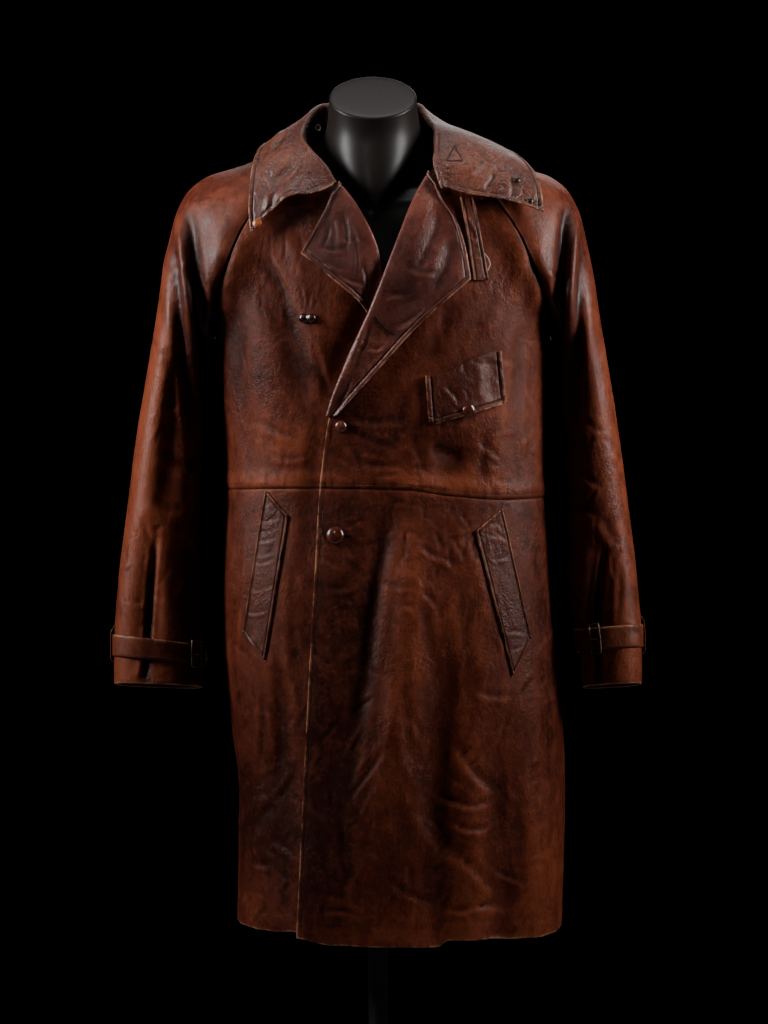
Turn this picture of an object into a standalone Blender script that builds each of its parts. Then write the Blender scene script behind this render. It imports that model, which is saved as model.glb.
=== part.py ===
"""A leather aviator coat on a limbless dress form.

Metres, +Z up. The origin is on the floor under the stand's pole. The coat faces -Y, and +X is the wearer's left.
Each panel's tables give its outer face, and the leather's thickness goes inwards from there.
"""

import math

import bmesh
import bpy
import numpy as np
from mathutils import Vector
from mathutils.bvhtree import BVHTree

# Leather and seams
LEATHER = 0.0020
FOLDED_LEATHER = 0.0022
SEAM = 0.0003
SEAT = 0.0011  # from a panel to what is sewn on it
LAPEL_GAP = 0.0009  # from a front's edge to its lapel's roll
SEEK = 0.006  # how far from its own surface a panel's face is looked for
SQUARENESS = 2.4
FOLD_FADE = 0.03
SHARP_EDGE = math.radians(50)

# How the right front goes under the left one: depths, and where each comes in, measured from the left front's edge
LAP = 0.0034
LAP_SPAN = (-0.034, -0.008)
DEEP_SPAN = (0.000, 0.050)
LAPEL_LAP = 0.0062
LAPEL_SPAN = (-0.060, -0.006)
LAPEL_HEIGHTS = (1.07, 1.18)
COVERED_SPAN = (-0.030, 0.030)

# Heights of the coat's main points
HEM_HEIGHT = 0.37
WAIST_HEIGHT = 0.975
LAPEL_HEIGHT = 1.165
UNDERARM = 1.185
SEAM_TOP_FRONT = 1.447
SEAM_TOP_BACK = 1.472

# Grid of each panel
SKIRT_ROWS = 9
SIDE_ROWS = 5
BELOW_LAPEL = (0.0, 0.26, 0.41, 0.53, 0.75)  # the same rows along a front's edge, as shares up to the lapel
RAGLAN_ROWS = 9
ARM_ROWS = 11
FRONT_COLUMNS = 18
BACK_COLUMNS = 20
SLEEVE_FRONT_COLUMNS = 14
SLEEVE_BACK_COLUMNS = 7

# Stand and form
BASE_RADIUS = 0.200
BASE_HEIGHT = 0.012
POLE_RADIUS = 0.016
FORM_BOTTOM = 0.800
CAP_RADIUS = 0.0612
CAP_HEIGHT = 0.007
CAP_CENTRE = (-0.007, -0.030, 1.526)
CAP_TILT = math.radians(36.0)
RING_POINTS = 28

RIGHT = -1
LEFT = 1


def table(columns, rows):
    """A short table of sizes, as one array for each named column."""
    return dict(zip(columns.split(), np.array(rows, float).T))


# Girth of the coat's body: half-widths to the wearer's right and left, and depths
BODY = table("height right left front back", (
    (0.340, 0.196, 0.255, 0.150, 0.166),
    (0.550, 0.193, 0.261, 0.155, 0.166),
    (0.650, 0.205, 0.258, 0.155, 0.164),
    (0.750, 0.214, 0.249, 0.153, 0.160),
    (0.850, 0.217, 0.242, 0.150, 0.154),
    (0.975, 0.2125, 0.2375, 0.141, 0.140),
    (1.100, 0.2190, 0.2360, 0.146, 0.145),
    (1.200, 0.2275, 0.2390, 0.149, 0.150),
    (1.250, 0.2330, 0.2415, 0.146, 0.150),
    (1.320, 0.2355, 0.2410, 0.131, 0.145),
    (1.380, 0.2350, 0.2380, 0.105, 0.131),
    (1.420, 0.2290, 0.2300, 0.079, 0.110),
    (1.450, 0.2150, 0.2150, 0.061, 0.089),
    (1.480, 0.1950, 0.1950, 0.050, 0.074),
))

# Waist seam and hem by the angle round the body, in degrees from the centre front to the left
WAIST = table("angle height", (
    (-180, 0.972), (-90, 0.976), (-20, 0.977), (5, 0.975), (20, 0.967), (40, 0.962), (90, 0.968), (180, 0.972),
))
LEFT_HEM = table("angle height", ((-30, 0.373), (-8, 0.363), (10, 0.361), (26, 0.370), (60, 0.371), (90, 0.380)))
RIGHT_HEM = table("angle height", ((-90, 0.380), (-45, 0.376), (0, 0.378), (30, 0.378)))
BACK_HEM = table("angle height", ((90, 0.380), (150, 0.368), (180, 0.366), (210, 0.368), (270, 0.380)))

# Free edges of the fronts, from the hem up the closing edge and along the lapel's roll line
LEFT_EDGE = table("height x", (
    (0.340, -0.1125), (0.500, -0.1060), (0.664, -0.0970), (0.859, -0.0860), (0.975, -0.0794), (1.043, -0.0715),
    (1.069, -0.0672), (1.150, -0.0376), (1.218, -0.0065), (1.308, 0.0287), (1.373, 0.0535), (1.4195, 0.0765),
))
RIGHT_EDGE = table("height x", (
    (0.340, 0.0850), (0.975, 0.0750), (1.100, 0.0680), (1.170, 0.0540), (1.215, 0.0340), (1.266, 0.0040),
    (1.3035, -0.0051), (1.355, -0.0295), (1.398, -0.0590),
))

FREE_EDGES = {LEFT: LEFT_EDGE, RIGHT: RIGHT_EDGE}

# Raglan seams: how far out each lies, as a share of the body's half-width
RAGLAN_FRONT = table("height share", (
    (UNDERARM, 1.000), (1.215, 0.975), (1.245, 0.940), (1.290, 0.868), (1.320, 0.815), (1.352, 0.740),
    (1.420, 0.555), (SEAM_TOP_FRONT, 0.478),
))
RAGLAN_BACK = table("height share", (
    (UNDERARM, 1.000), (1.215, 0.978), (1.250, 0.950), (1.300, 0.880), (1.360, 0.745), (1.430, 0.520),
    (SEAM_TOP_BACK, 0.365),
))

# Depth of the right front under the left one away from its edge, where the left front's folds reach inwards
DEEP_LAP = table("height depth", ((0.340, 0.012), (0.600, 0.020), (0.900, 0.020), (1.020, 0.009), (1.420, 0.008)))

# Main folds of the body, each a run of rows down its line: sideways place, half-width and depth (a ridge is minus)
FRONT_FOLDS = (
    table("height x width depth", (  # long valley of the left front skirt
        (0.962, 0.014, 0.024, 0.003), (0.880, 0.004, 0.026, 0.012), (0.790, -0.009, 0.028, 0.015),
        (0.690, -0.022, 0.028, 0.013), (0.620, -0.036, 0.028, 0.008), (0.520, -0.056, 0.028, 0.000),
    )),
    table("height x width depth", (  # ridge to its left
        (0.950, 0.052, 0.022, 0.000), (0.826, 0.040, 0.024, -0.008), (0.700, 0.028, 0.026, -0.009),
        (0.540, 0.004, 0.028, -0.008), (0.400, -0.020, 0.030, -0.002),
    )),
    table("height x width depth", (  # valley beyond the ridge
        (0.800, 0.096, 0.024, 0.000), (0.700, 0.088, 0.026, 0.009), (0.560, 0.080, 0.028, 0.010),
        (0.370, 0.084, 0.030, 0.008),
    )),
    table("height x width depth", (  # outer flute of the left front skirt
        (0.700, 0.170, 0.024, 0.000), (0.540, 0.168, 0.028, 0.010), (0.370, 0.170, 0.030, 0.013),
    )),
    table("height x width depth", (  # right front skirt
        (0.740, -0.142, 0.022, 0.000), (0.650, -0.138, 0.024, 0.009), (0.540, -0.136, 0.026, 0.011),
        (0.370, -0.146, 0.028, 0.008),
    )),
    table("height x width depth", (  # drag line of the right front
        (1.298, -0.162, 0.020, 0.000), (1.250, -0.138, 0.022, 0.006), (1.190, -0.120, 0.022, 0.009),
        (1.120, -0.104, 0.022, 0.006), (1.050, -0.098, 0.022, 0.000),
    )),
    table("height x width depth", (  # side of the right front
        (1.260, -0.194, 0.016, 0.000), (1.180, -0.190, 0.018, 0.008), (1.060, -0.184, 0.018, 0.008),
        (0.985, -0.180, 0.018, 0.002),
    )),
    table("height x width depth", (  # side of the left front
        (1.200, 0.200, 0.016, 0.000), (1.120, 0.196, 0.018, 0.008), (1.020, 0.192, 0.018, 0.006),
        (0.970, 0.190, 0.018, 0.001),
    )),
    table("height x width depth", (  # hollow below the breast pocket
        (1.060, 0.104, 0.024, 0.000), (1.015, 0.096, 0.028, 0.008), (0.965, 0.088, 0.026, 0.001),
    )),
)
BACK_FOLDS = (
    table("height x width depth", (
        (0.960, 0.060, 0.024, 0.000), (0.760, 0.078, 0.028, 0.011), (0.560, 0.092, 0.032, 0.015),
        (0.360, 0.100, 0.034, 0.017),
    )),
    table("height x width depth", (
        (0.960, -0.040, 0.024, 0.000), (0.740, -0.058, 0.028, 0.010), (0.560, -0.068, 0.030, 0.015),
        (0.360, -0.074, 0.032, 0.016),
    )),
    table("height x width depth", (
        (1.330, 0.150, 0.022, 0.000), (1.240, 0.140, 0.025, 0.009), (1.110, 0.120, 0.025, 0.009),
        (0.990, 0.105, 0.022, 0.000),
    )),
    table("height x width depth", (
        (1.330, -0.148, 0.022, 0.000), (1.250, -0.136, 0.025, 0.008), (1.100, -0.112, 0.025, 0.010),
        (0.990, -0.095, 0.022, 0.000),
    )),
)

# Sleeves. Station -1 is the cuff, 0 the underarm and 1 the neck. The overarm line and the two reaches that bow
# each section forward are measured outwards from the wearer's middle, forwards and up.
OVERARM = table("station x y z", (
    (-1.00, 0.3660, -0.0400, 0.706), (-0.86, 0.3660, -0.0360, 0.765), (-0.70, 0.3610, -0.0280, 0.845),
    (-0.45, 0.3480, -0.0140, 0.962), (-0.22, 0.3330, -0.0050, 1.076), (0.00, 0.3100, 0.0000, 1.215),
    (0.20, 0.3025, 0.0020, 1.266), (0.40, 0.2940, 0.0040, 1.318), (0.55, 0.2830, 0.0060, 1.361),
    (0.68, 0.2680, 0.0080, 1.392), (0.78, 0.2430, 0.0100, 1.4135), (0.88, 0.1900, 0.0120, 1.432),
    (1.00, 0.1070, 0.0120, 1.468),
))
UNDER_RIGHT = table("station x y z", (
    (-1.00, 0.2430, -0.0360, 0.702), (-0.86, 0.2430, -0.0330, 0.758), (-0.70, 0.2410, -0.0260, 0.836),
    (-0.45, 0.2360, -0.0130, 0.951), (-0.22, 0.2340, -0.0050, 1.060), (0.00, 0.2290, 0.0000, UNDERARM),
))
UNDER_LEFT = table("station x y z", (
    (-1.00, 0.2830, -0.0380, 0.702), (-0.86, 0.2790, -0.0350, 0.758), (-0.70, 0.2640, -0.0270, 0.836),
    (-0.45, 0.2500, -0.0130, 0.951), (-0.22, 0.2440, -0.0050, 1.060), (0.00, 0.2410, 0.0000, UNDERARM),
))
REACH = table("station seam_out seam_fore seam_up over_out over_fore over_up", (
    (-1.00, 0.000, 0.060, 0.000, 0.000, 0.060, 0.000), (-0.86, 0.000, 0.062, 0.000, 0.000, 0.062, 0.000),
    (-0.70, 0.000, 0.074, 0.000, 0.000, 0.074, 0.000), (-0.45, 0.000, 0.098, 0.000, 0.000, 0.098, 0.000),
    (-0.22, 0.000, 0.118, 0.000, 0.000, 0.118, 0.000), (0.00, 0.006, 0.128, 0.000, 0.000, 0.128, 0.000),
    (0.20, 0.014, 0.072, 0.004, 0.000, 0.112, 0.000), (0.40, 0.030, 0.030, 0.006, 0.000, 0.104, 0.000),
    (0.55, 0.036, 0.014, 0.010, 0.000, 0.088, -0.006), (0.68, 0.036, 0.005, 0.013, 0.000, 0.070, -0.008),
    (0.78, 0.030, -0.002, 0.014, -0.004, 0.055, -0.012), (0.88, 0.022, -0.008, 0.014, -0.004, 0.042, -0.008),
    (1.00, 0.014, -0.012, 0.014, 0.004, 0.024, 0.000),
))
SEAM_RISE = 0.0010  # how far the sleeve's seam stands off the body by the underarm
SHARED_NORMALS = (0.30, 0.55)  # stations over which the seam's wall turns square to the body
CUFF_TILT = 0.12  # how much higher the front of the cuff hangs, for each metre forward

# Main folds of each sleeve, front and back, by height and by sideways place outwards from the wearer's middle
SLEEVE_FRONT_FOLDS = {
    RIGHT: (
        table("height x width depth", (  # between body and sleeve
            (1.370, 0.256, 0.015, 0.000), (1.319, 0.247, 0.017, 0.008), (1.236, 0.243, 0.017, 0.010),
            (1.150, 0.240, 0.017, 0.006), (1.060, 0.238, 0.017, 0.000),
        )),
        table("height x width depth", (  # inside the outer lobe
            (1.320, 0.280, 0.014, 0.000), (1.260, 0.276, 0.015, 0.006), (1.180, 0.276, 0.017, 0.010),
            (1.090, 0.281, 0.019, 0.012), (1.000, 0.288, 0.021, 0.010), (0.920, 0.294, 0.021, 0.000),
        )),
        table("height x width depth", (  # pleat gathered by the cuff strap
            (0.940, 0.312, 0.017, 0.000), (0.880, 0.3165, 0.017, 0.009), (0.800, 0.3165, 0.017, 0.012),
            (0.765, 0.318, 0.016, 0.008), (0.710, 0.318, 0.015, 0.003),
        )),
    ),
    LEFT: (
        table("height x width depth", (  # between body and sleeve
            (1.374, 0.262, 0.015, 0.000), (1.330, 0.254, 0.016, 0.009), (1.291, 0.250, 0.017, 0.012),
            (1.195, 0.247, 0.017, 0.010), (1.072, 0.245, 0.017, 0.004), (1.000, 0.244, 0.017, 0.000),
        )),
        table("height x width depth", (  # soft valley beside it
            (1.320, 0.280, 0.014, 0.000), (1.240, 0.277, 0.015, 0.006), (1.160, 0.276, 0.016, 0.007),
            (1.040, 0.280, 0.018, 0.000),
        )),
        table("height x width depth", (  # pleat gathered by the cuff strap
            (0.950, 0.309, 0.017, 0.000), (0.880, 0.307, 0.017, 0.010), (0.790, 0.302, 0.017, 0.014),
            (0.740, 0.302, 0.016, 0.008), (0.700, 0.302, 0.016, 0.004),
        )),
    ),
}
SLEEVE_BACK_FOLDS = {
    RIGHT: (table("height x width depth", (
        (1.300, 0.262, 0.022, 0.000), (1.150, 0.272, 0.026, 0.010), (1.000, 0.284, 0.026, 0.011),
        (0.860, 0.298, 0.024, 0.000),
    )),),
    LEFT: (table("height x width depth", (
        (1.280, 0.266, 0.022, 0.000), (1.140, 0.276, 0.026, 0.011), (0.990, 0.290, 0.026, 0.009),
        (0.880, 0.300, 0.024, 0.000),
    )),),
}
FRONT_FOLD_SPAN = (1.00, 0.82)  # places round the sleeve over which the front folds come in from the overarm
BACK_FOLD_SPAN = (1.00, 1.18)

# Lapels, from the break up to the collar: roll line, free edge, and how far each stands off the front
LAPELS = {
    LEFT: table("roll_z edge_x edge_z roll_lift edge_lift", (
        (1.0745, -0.0550, 1.0760, 0.0054, 0.0044), (1.1500, -0.0010, 1.1357, 0.0062, 0.0036),
        (1.2180, 0.0567, 1.1990, 0.0070, 0.0038), (1.2945, 0.1250, 1.2605, 0.0070, 0.0042),
        (1.3420, 0.1180, 1.3030, 0.0066, 0.0042), (1.3780, 0.1060, 1.3400, 0.0062, 0.0042),
        (1.3980, 0.0900, 1.3640, 0.0058, 0.0042), (1.4080, 0.0770, 1.3900, 0.0054, 0.0042),
    )),
    RIGHT: table("roll_z edge_x edge_z roll_lift edge_lift", (
        (1.2150, 0.0120, 1.1880, 0.0044, 0.0038), (1.2365, -0.0050, 1.2035, 0.0044, 0.0038),
        (1.2660, -0.0295, 1.2320, 0.0048, 0.0038), (1.3035, -0.0675, 1.2648, 0.0066, 0.0044),
        (1.3550, -0.1030, 1.2945, 0.0070, 0.0052), (1.3800, -0.0777, 1.3410, 0.0066, 0.0052),
        (1.3920, -0.0620, 1.3760, 0.0060, 0.0050),
    )),
}
LAPEL_COLUMNS = 6
LAPEL_BEND = (-84, -42, 0, 42)  # turns of the roll, in degrees from the front's edge

# Collar sections from the right point round the neck to the left point: neck seam, top of the roll, free edge
COLLAR = table(
    "neck_x neck_y neck_z roll_x roll_y roll_z edge_x edge_y edge_z radius bow", (
        (-0.0620, -0.1020, 1.3940, -0.0590, -0.1060, 1.4040, -0.1735, -0.1240, 1.3290, 0.0032, 0.012),
        (-0.0745, -0.0930, 1.4100, -0.0710, -0.0960, 1.4210, -0.1765, -0.1130, 1.3620, 0.0034, 0.009),
        (-0.0900, -0.0760, 1.4330, -0.0935, -0.0770, 1.4450, -0.1755, -0.0900, 1.3970, 0.0038, 0.007),
        (-0.0980, -0.0420, 1.4580, -0.1060, -0.0360, 1.4700, -0.1705, -0.0420, 1.4390, 0.0044, 0.006),
        (-0.1010, 0.0050, 1.4720, -0.0950, 0.0120, 1.5060, -0.1600, 0.0120, 1.4580, 0.0050, 0.004),
        (-0.0880, 0.0480, 1.4760, -0.0760, 0.0480, 1.5230, -0.1400, 0.0900, 1.4450, 0.0050, 0.006),
        (0.0000, 0.0770, 1.4722, -0.0050, 0.0710, 1.5290, -0.0030, 0.1150, 1.4310, 0.0050, 0.008),
        (0.0880, 0.0480, 1.4760, 0.0560, 0.0500, 1.5240, 0.1400, 0.0920, 1.4450, 0.0050, 0.006),
        (0.1010, 0.0050, 1.4720, 0.0700, 0.0100, 1.5000, 0.1750, 0.0100, 1.4520, 0.0050, 0.010),
        (0.0940, -0.0420, 1.4600, 0.0810, -0.0340, 1.4780, 0.2050, -0.0440, 1.4290, 0.0046, 0.014),
        (0.0860, -0.0760, 1.4400, 0.0810, -0.0700, 1.4520, 0.2185, -0.0830, 1.4050, 0.0040, 0.016),
        (0.0850, -0.0940, 1.4180, 0.0790, -0.0960, 1.4290, 0.2245, -0.1040, 1.3810, 0.0036, 0.014),
        (0.0930, -0.1080, 1.3840, 0.0890, -0.1140, 1.3900, 0.2260, -0.1150, 1.3590, 0.0032, 0.012),
    ))
COLLAR_ROWS = 22
STAND_COLUMNS = 3
ROLL_COLUMNS = 4
FALL_COLUMNS = 6
ROLL_END = math.radians(25)  # where the roll passes into the fall
FALL_REACH = dict(down=0.10, first=0.20, second=0.68)  # the fall's bow, as shares of its length

# What is sewn on the panels: corners by sideways place and height, from the top by the wearer's right
THROAT_STRAP = table("x z", ((0.1140, 1.3610), (0.1330, 1.3610), (0.1500, 1.2600), (0.1285, 1.2600)))
BREAST_FLAP = table("x z", ((0.0640, 1.1300), (0.1670, 1.1640), (0.1730, 1.0930), (0.0690, 1.0610)))
RIGHT_WELT = table("x z", ((-0.1530, 0.9700), (-0.1220, 0.9400), (-0.1530, 0.7430), (-0.1840, 0.7800)))
LEFT_WELT = table("x z", ((0.1320, 0.9190), (0.1690, 0.9500), (0.2080, 0.7730), (0.1830, 0.7210)))

# Cuff straps: station at the underarm and the overarm, half-width in stations, start and run round the sleeve
CUFF_STRAPS = {
    RIGHT: dict(under=-0.893, over=-0.872, half_width=0.034, start=-0.20, run=2.16),
    LEFT: dict(under=-0.842, over=-0.846, half_width=0.034, start=-0.20, run=2.16),
}
STRAP_COLUMNS = 32
STRAP_LAP = (0.86, 0.925)  # shares of the run over which the end rises onto the start
STRAP_TIP = (0.965, 1.0)  # shares over which the end tapers
STRAP_TIP_CUT = 0.8
KEEPER = dict(places=(0.955, 1.045), half_length=0.058, rise=(0.98, 0.72), rows=8)
BUCKLE = dict(places={RIGHT: (0.13, 0.23), LEFT: (0.29, 0.39)}, overhang=0.010, wire=0.0013, steps=5)

# Buttons on the fronts: the piece each is sewn to, sideways place, height, radius and rise
BUTTONS = {
    "break_button": dict(on="left_front_upper", x=-0.0460, z=1.0560, radius=0.0105, rise=0.0055),
    "waist_button": dict(on="left_front_skirt", x=-0.0575, z=0.9130, radius=0.0130, rise=0.0070),
    "breast_pocket_button": dict(on="breast_pocket_flap", x=0.1220, z=1.0830, radius=0.0090, rise=0.0060),
    "toggle_button": dict(on="right_front_upper", x=-0.0950, z=1.2080, radius=0.0125, rise=0.0080),
}

BUTTON_PROFILE = ((0.0, 1.0), (0.55, 0.86), (0.92, 0.45), (1.0, 0.22), (0.90, 0.0), (0.0, 0.0))  # shares of both

# Fittings on the collar: row and column of its grid, radius and rise
COLLAR_FITTINGS = {
    "collar_button": dict(row=1, column=12, radius=0.0062, rise=0.0032, finish="orange_button"),
    "collar_stud_upper": dict(row=18, column=11, radius=0.0046, rise=0.0024, finish="dark_metal"),
    "collar_stud_lower": dict(row=21, column=12, radius=0.0046, rise=0.0024, finish="dark_metal"),
}
EYELET = dict(row=8, column=2, radius=0.0042, wire=0.0011)

# Dress form: rings from the bottom up, with the neck's rings leaning forward
FORM = table("height y half front back tilt", (
    (FORM_BOTTOM, 0.000, 0.140, 0.088, 0.086, 0), (0.812, 0.000, 0.158, 0.102, 0.100, 0),
    (0.860, 0.000, 0.168, 0.112, 0.110, 0), (0.975, 0.000, 0.158, 0.106, 0.102, 0),
    (1.100, 0.000, 0.168, 0.114, 0.112, 0), (1.200, 0.000, 0.182, 0.120, 0.122, 0),
    (1.270, 0.000, 0.198, 0.114, 0.122, 0), (1.330, 0.002, 0.214, 0.100, 0.114, 0),
    (1.375, 0.004, 0.226, 0.082, 0.098, 0), (1.400, 0.006, 0.224, 0.070, 0.086, 0),
    (1.4193, 0.008, 0.210, 0.062, 0.078, 0), (1.430, 0.010, 0.178, 0.060, 0.074, 2),
    (1.440, 0.008, 0.130, 0.058, 0.064, 5), (1.452, 0.004, 0.088, 0.060, 0.060, 9),
    (1.470, -0.002, 0.068, 0.061, 0.057, 16), (1.495, -0.012, 0.0625, 0.0612, 0.0590, 27),
    (1.5195, -0.0255, CAP_RADIUS, CAP_RADIUS, CAP_RADIUS, 36),
))

COLOURS = {
    "leather": ((0.155, 0.052, 0.026), 0.42, 0.0),
    "dark_leather": ((0.050, 0.016, 0.010), 0.36, 0.0),
    "button": ((0.120, 0.026, 0.012), 0.28, 0.0),
    "orange_button": ((0.330, 0.085, 0.022), 0.34, 0.0),
    "metal": ((0.330, 0.290, 0.210), 0.34, 1.0),
    "dark_metal": ((0.070, 0.062, 0.052), 0.40, 1.0),
    "form": ((0.012, 0.012, 0.013), 0.34, 0.0),
    "stand": ((0.045, 0.045, 0.048), 0.36, 1.0),
}


def smooth(knots, values, at):
    """Values between a table's rows, on a cubic that never overshoots them."""
    steps = np.diff(knots)
    slopes = np.diff(values) / steps
    before, after = slopes[:-1], slopes[1:]
    weight_before = 2 * steps[1:] + steps[:-1]
    weight_after = steps[1:] + 2 * steps[:-1]
    same_way = before * after > 0
    safe_before = np.where(same_way, before, 1.0)
    safe_after = np.where(same_way, after, 1.0)
    mean = (weight_before + weight_after) / (weight_before / safe_before + weight_after / safe_after)
    tangents = np.concatenate(([slopes[0]], np.where(same_way, mean, 0.0), [slopes[-1]]))
    row = np.clip(np.searchsorted(knots, at, side="right") - 1, 0, len(steps) - 1)
    step = steps[row]
    t = np.clip((at - knots[row]) / step, 0.0, 1.0)
    rise = values[row + 1] - values[row]
    curve = values[row] + rise * t * t * (3 - 2 * t)
    return curve + step * t * (1 - t) * (tangents[row] * (1 - t) - tangents[row + 1] * t)


def ease(low, high, at):
    """A soft step from 0 at low to 1 at high."""
    t = np.clip((np.asarray(at, float) - low) / (high - low), 0.0, 1.0)
    return t * t * (3 - 2 * t)


def unit(vectors):
    """Vectors scaled to a length of 1."""
    return vectors / np.linalg.norm(vectors, axis=-1, keepdims=True)


def bezier(t, start, first, second, end):
    """A point on a cubic curve."""
    return (1 - t) ** 3 * start + 3 * t * (1 - t) ** 2 * first + 3 * t * t * (1 - t) * second + t ** 3 * end


def fold_depth(folds, along, across, at, place):
    """How far a set of folds moves a surface inwards."""
    total = np.zeros(np.broadcast(at, place).shape)
    for fold in folds:
        order = np.argsort(fold[along])
        knots = fold[along][order]
        centre, width, depth = (smooth(knots, fold[name][order], at) for name in (across, "width", "depth"))
        inside = ease(knots[0] - FOLD_FADE, knots[0], at) * (1 - ease(knots[-1], knots[-1] + FOLD_FADE, at))
        total = total + inside * depth * np.exp(-(((place - centre) / width) ** 2))
    return total


# Body


def body_girth(height):
    """Half-widths and depths of the coat's body at a height."""
    return [smooth(BODY["height"], BODY[name], height) for name in ("right", "left", "front", "back")]


def front_angle(x, height):
    """Angle round the body of a sideways place on its front."""
    right, left = body_girth(height)[:2]
    share = np.clip(np.abs(x) / np.where(x >= 0, left, right), 0.0, 1.0)
    return np.sign(x) * np.arcsin(share ** (SQUARENESS / 2))


def body_ring(angle, height):
    """Undraped outer face of the body."""
    right, left, front, back = body_girth(height)
    sine, cosine = np.sin(angle), np.cos(angle)
    power = 2 / SQUARENESS
    x = np.where(sine >= 0, left, right) * np.sign(sine) * np.abs(sine) ** power
    y = -np.where(cosine >= 0, front, back) * np.sign(cosine) * np.abs(cosine) ** power
    return np.stack(np.broadcast_arrays(x, y, height), axis=-1)


def body_normal(face, angle, height):
    """Outward normal of a body surface, by small steps along it."""
    step = 0.004
    across = face(angle + step, height) - face(angle - step, height)
    upward = face(angle, height + step) - face(angle, height - step)
    return unit(np.cross(across, upward))


def fold_on_body(angle, height, x):
    """Depth of the body's folds, each kept to its own side."""
    cosine = np.cos(angle)
    front = fold_depth(FRONT_FOLDS, "height", "x", height, x) * ease(0.0, 0.30, cosine)
    return front + fold_depth(BACK_FOLDS, "height", "x", height, x) * ease(0.0, 0.30, -cosine)


def draped_body(angle, height):
    """Outer face of the body with its main folds."""
    ring = body_ring(angle, height)
    depth = fold_on_body(angle, height, ring[..., 0])
    return ring - body_normal(body_ring, angle, height) * depth[..., None]


def lapped_body(angle, height):
    """Outer face of the right front, which goes deeper and loses its folds where the left front covers it."""
    ring = body_ring(angle, height)
    x = ring[..., 0]
    under = x - edge_x(LEFT_EDGE, height)
    deep = smooth(DEEP_LAP["height"], DEEP_LAP["depth"], height)
    depth = fold_on_body(angle, height, x) * (1 - ease(*COVERED_SPAN, under))
    depth = depth + LAP * ease(*LAP_SPAN, under) + deep * ease(*DEEP_SPAN, under)
    depth = depth + LAPEL_LAP * ease(*LAPEL_HEIGHTS, height) * ease(*LAPEL_SPAN, under)
    return ring - body_normal(body_ring, angle, height) * depth[..., None]


def body_surface(angle, height, side=LEFT):
    """Points and outward normals of the draped body, with the right front lapped under."""
    face = lapped_body if side == RIGHT else draped_body
    angle, height = np.broadcast_arrays(np.asarray(angle, float), np.asarray(height, float))
    return face(angle, height), body_normal(face, angle, height)


def edge_x(edge, height):
    """Sideways place of a front's free edge."""
    return smooth(edge["height"], edge["x"], np.asarray(height, float))


def front_surface(side, x, height):
    """Points and normals of a front by sideways place."""
    return body_surface(front_angle(x, height), height, side)


def inset(points, edges):
    """Draw the named edges of a panel back by half a seam."""
    points = points.copy()
    for edge in edges:
        index, neighbour = {"bottom": ((0,), (1,)), "top": ((-1,), (-2,)),
                            "start": ((slice(None), 0), (slice(None), 1)),
                            "end": ((slice(None), -1), (slice(None), -2))}[edge]
        points[index] += unit(points[neighbour] - points[index]) * SEAM / 2
    return points


# Making objects


def side_name(side):
    """The wearer's side in words."""
    return "left" if side == LEFT else "right"


def panel_side(panel):
    """The wearer's side that a panel's name begins with."""
    return LEFT if panel.startswith("left") else RIGHT


def material(name):
    """The named finish, made once."""
    found = bpy.data.materials.get(name)
    if found:
        return found
    colour, roughness, metallic = COLOURS[name]
    made = bpy.data.materials.new(name)
    made.use_nodes = True
    shader = made.node_tree.nodes["Principled BSDF"]
    shader.inputs["Base Color"].default_value = (*colour, 1.0)
    shader.inputs["Roughness"].default_value = roughness
    shader.inputs["Metallic"].default_value = metallic
    return made


def add_object(name, data, finish):
    """Put a mesh or curve in the coat's collection, under its empty."""
    made = bpy.data.objects.new(name, data)
    made.data.materials.append(material(finish))
    collection.objects.link(made)
    made.parent = root
    return made


def cloth(name, outer, normals, thickness, finish="leather"):
    """A wall of leather between a grid of outer points and the same points moved in."""
    rows, columns = outer.shape[:2]
    mesh_build = bmesh.new()
    faces = []
    for grid in (outer, outer - normals * thickness):
        faces.append([[mesh_build.verts.new(point) for point in row] for row in grid])
    outside, inside = faces
    for row in range(rows - 1):
        for column in range(columns - 1):
            for layer in faces:
                corners = (layer[row][column], layer[row][column + 1], layer[row + 1][column + 1],
                           layer[row + 1][column])
                mesh_build.faces.new(corners)
    rim = [(0, column) for column in range(columns)] + [(row, columns - 1) for row in range(1, rows)]
    rim += [(rows - 1, column) for column in range(columns - 2, -1, -1)]
    rim += [(row, 0) for row in range(rows - 2, 0, -1)]
    for here, there in zip(rim, rim[1:] + rim[:1]):
        mesh_build.faces.new((outside[here[0]][here[1]], outside[there[0]][there[1]],
                              inside[there[0]][there[1]], inside[here[0]][here[1]]))
    bmesh.ops.recalc_face_normals(mesh_build, faces=mesh_build.faces)
    mesh = bpy.data.meshes.new(name)
    mesh_build.to_mesh(mesh)
    mesh_build.free()
    mesh.shade_smooth()
    mesh.set_sharp_from_angle(angle=SHARP_EDGE)
    return add_object(name, mesh, finish)


def on_panel(panel, points, normals):
    """Points moved along their normals onto the faces of a panel."""
    mesh = bpy.data.objects[panel].data
    tree = BVHTree.FromPolygons([v.co for v in mesh.vertices], [f.vertices for f in mesh.polygons])
    moved = points.copy()
    for index in np.ndindex(points.shape[:-1]):
        normal = Vector(normals[index])
        hit = tree.ray_cast(Vector(points[index]) + normal * SEEK, -normal, 2 * SEEK)[0]
        if hit:
            moved[index] = hit
    return moved


def aligned(made, centre, normal):
    """Stand a piece on a point with its own +Z along a normal."""
    made.rotation_mode = "QUATERNION"
    made.rotation_quaternion = Vector(normal).to_track_quat("Z", "Y")
    made.location = centre


# Panels of the body


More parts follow.
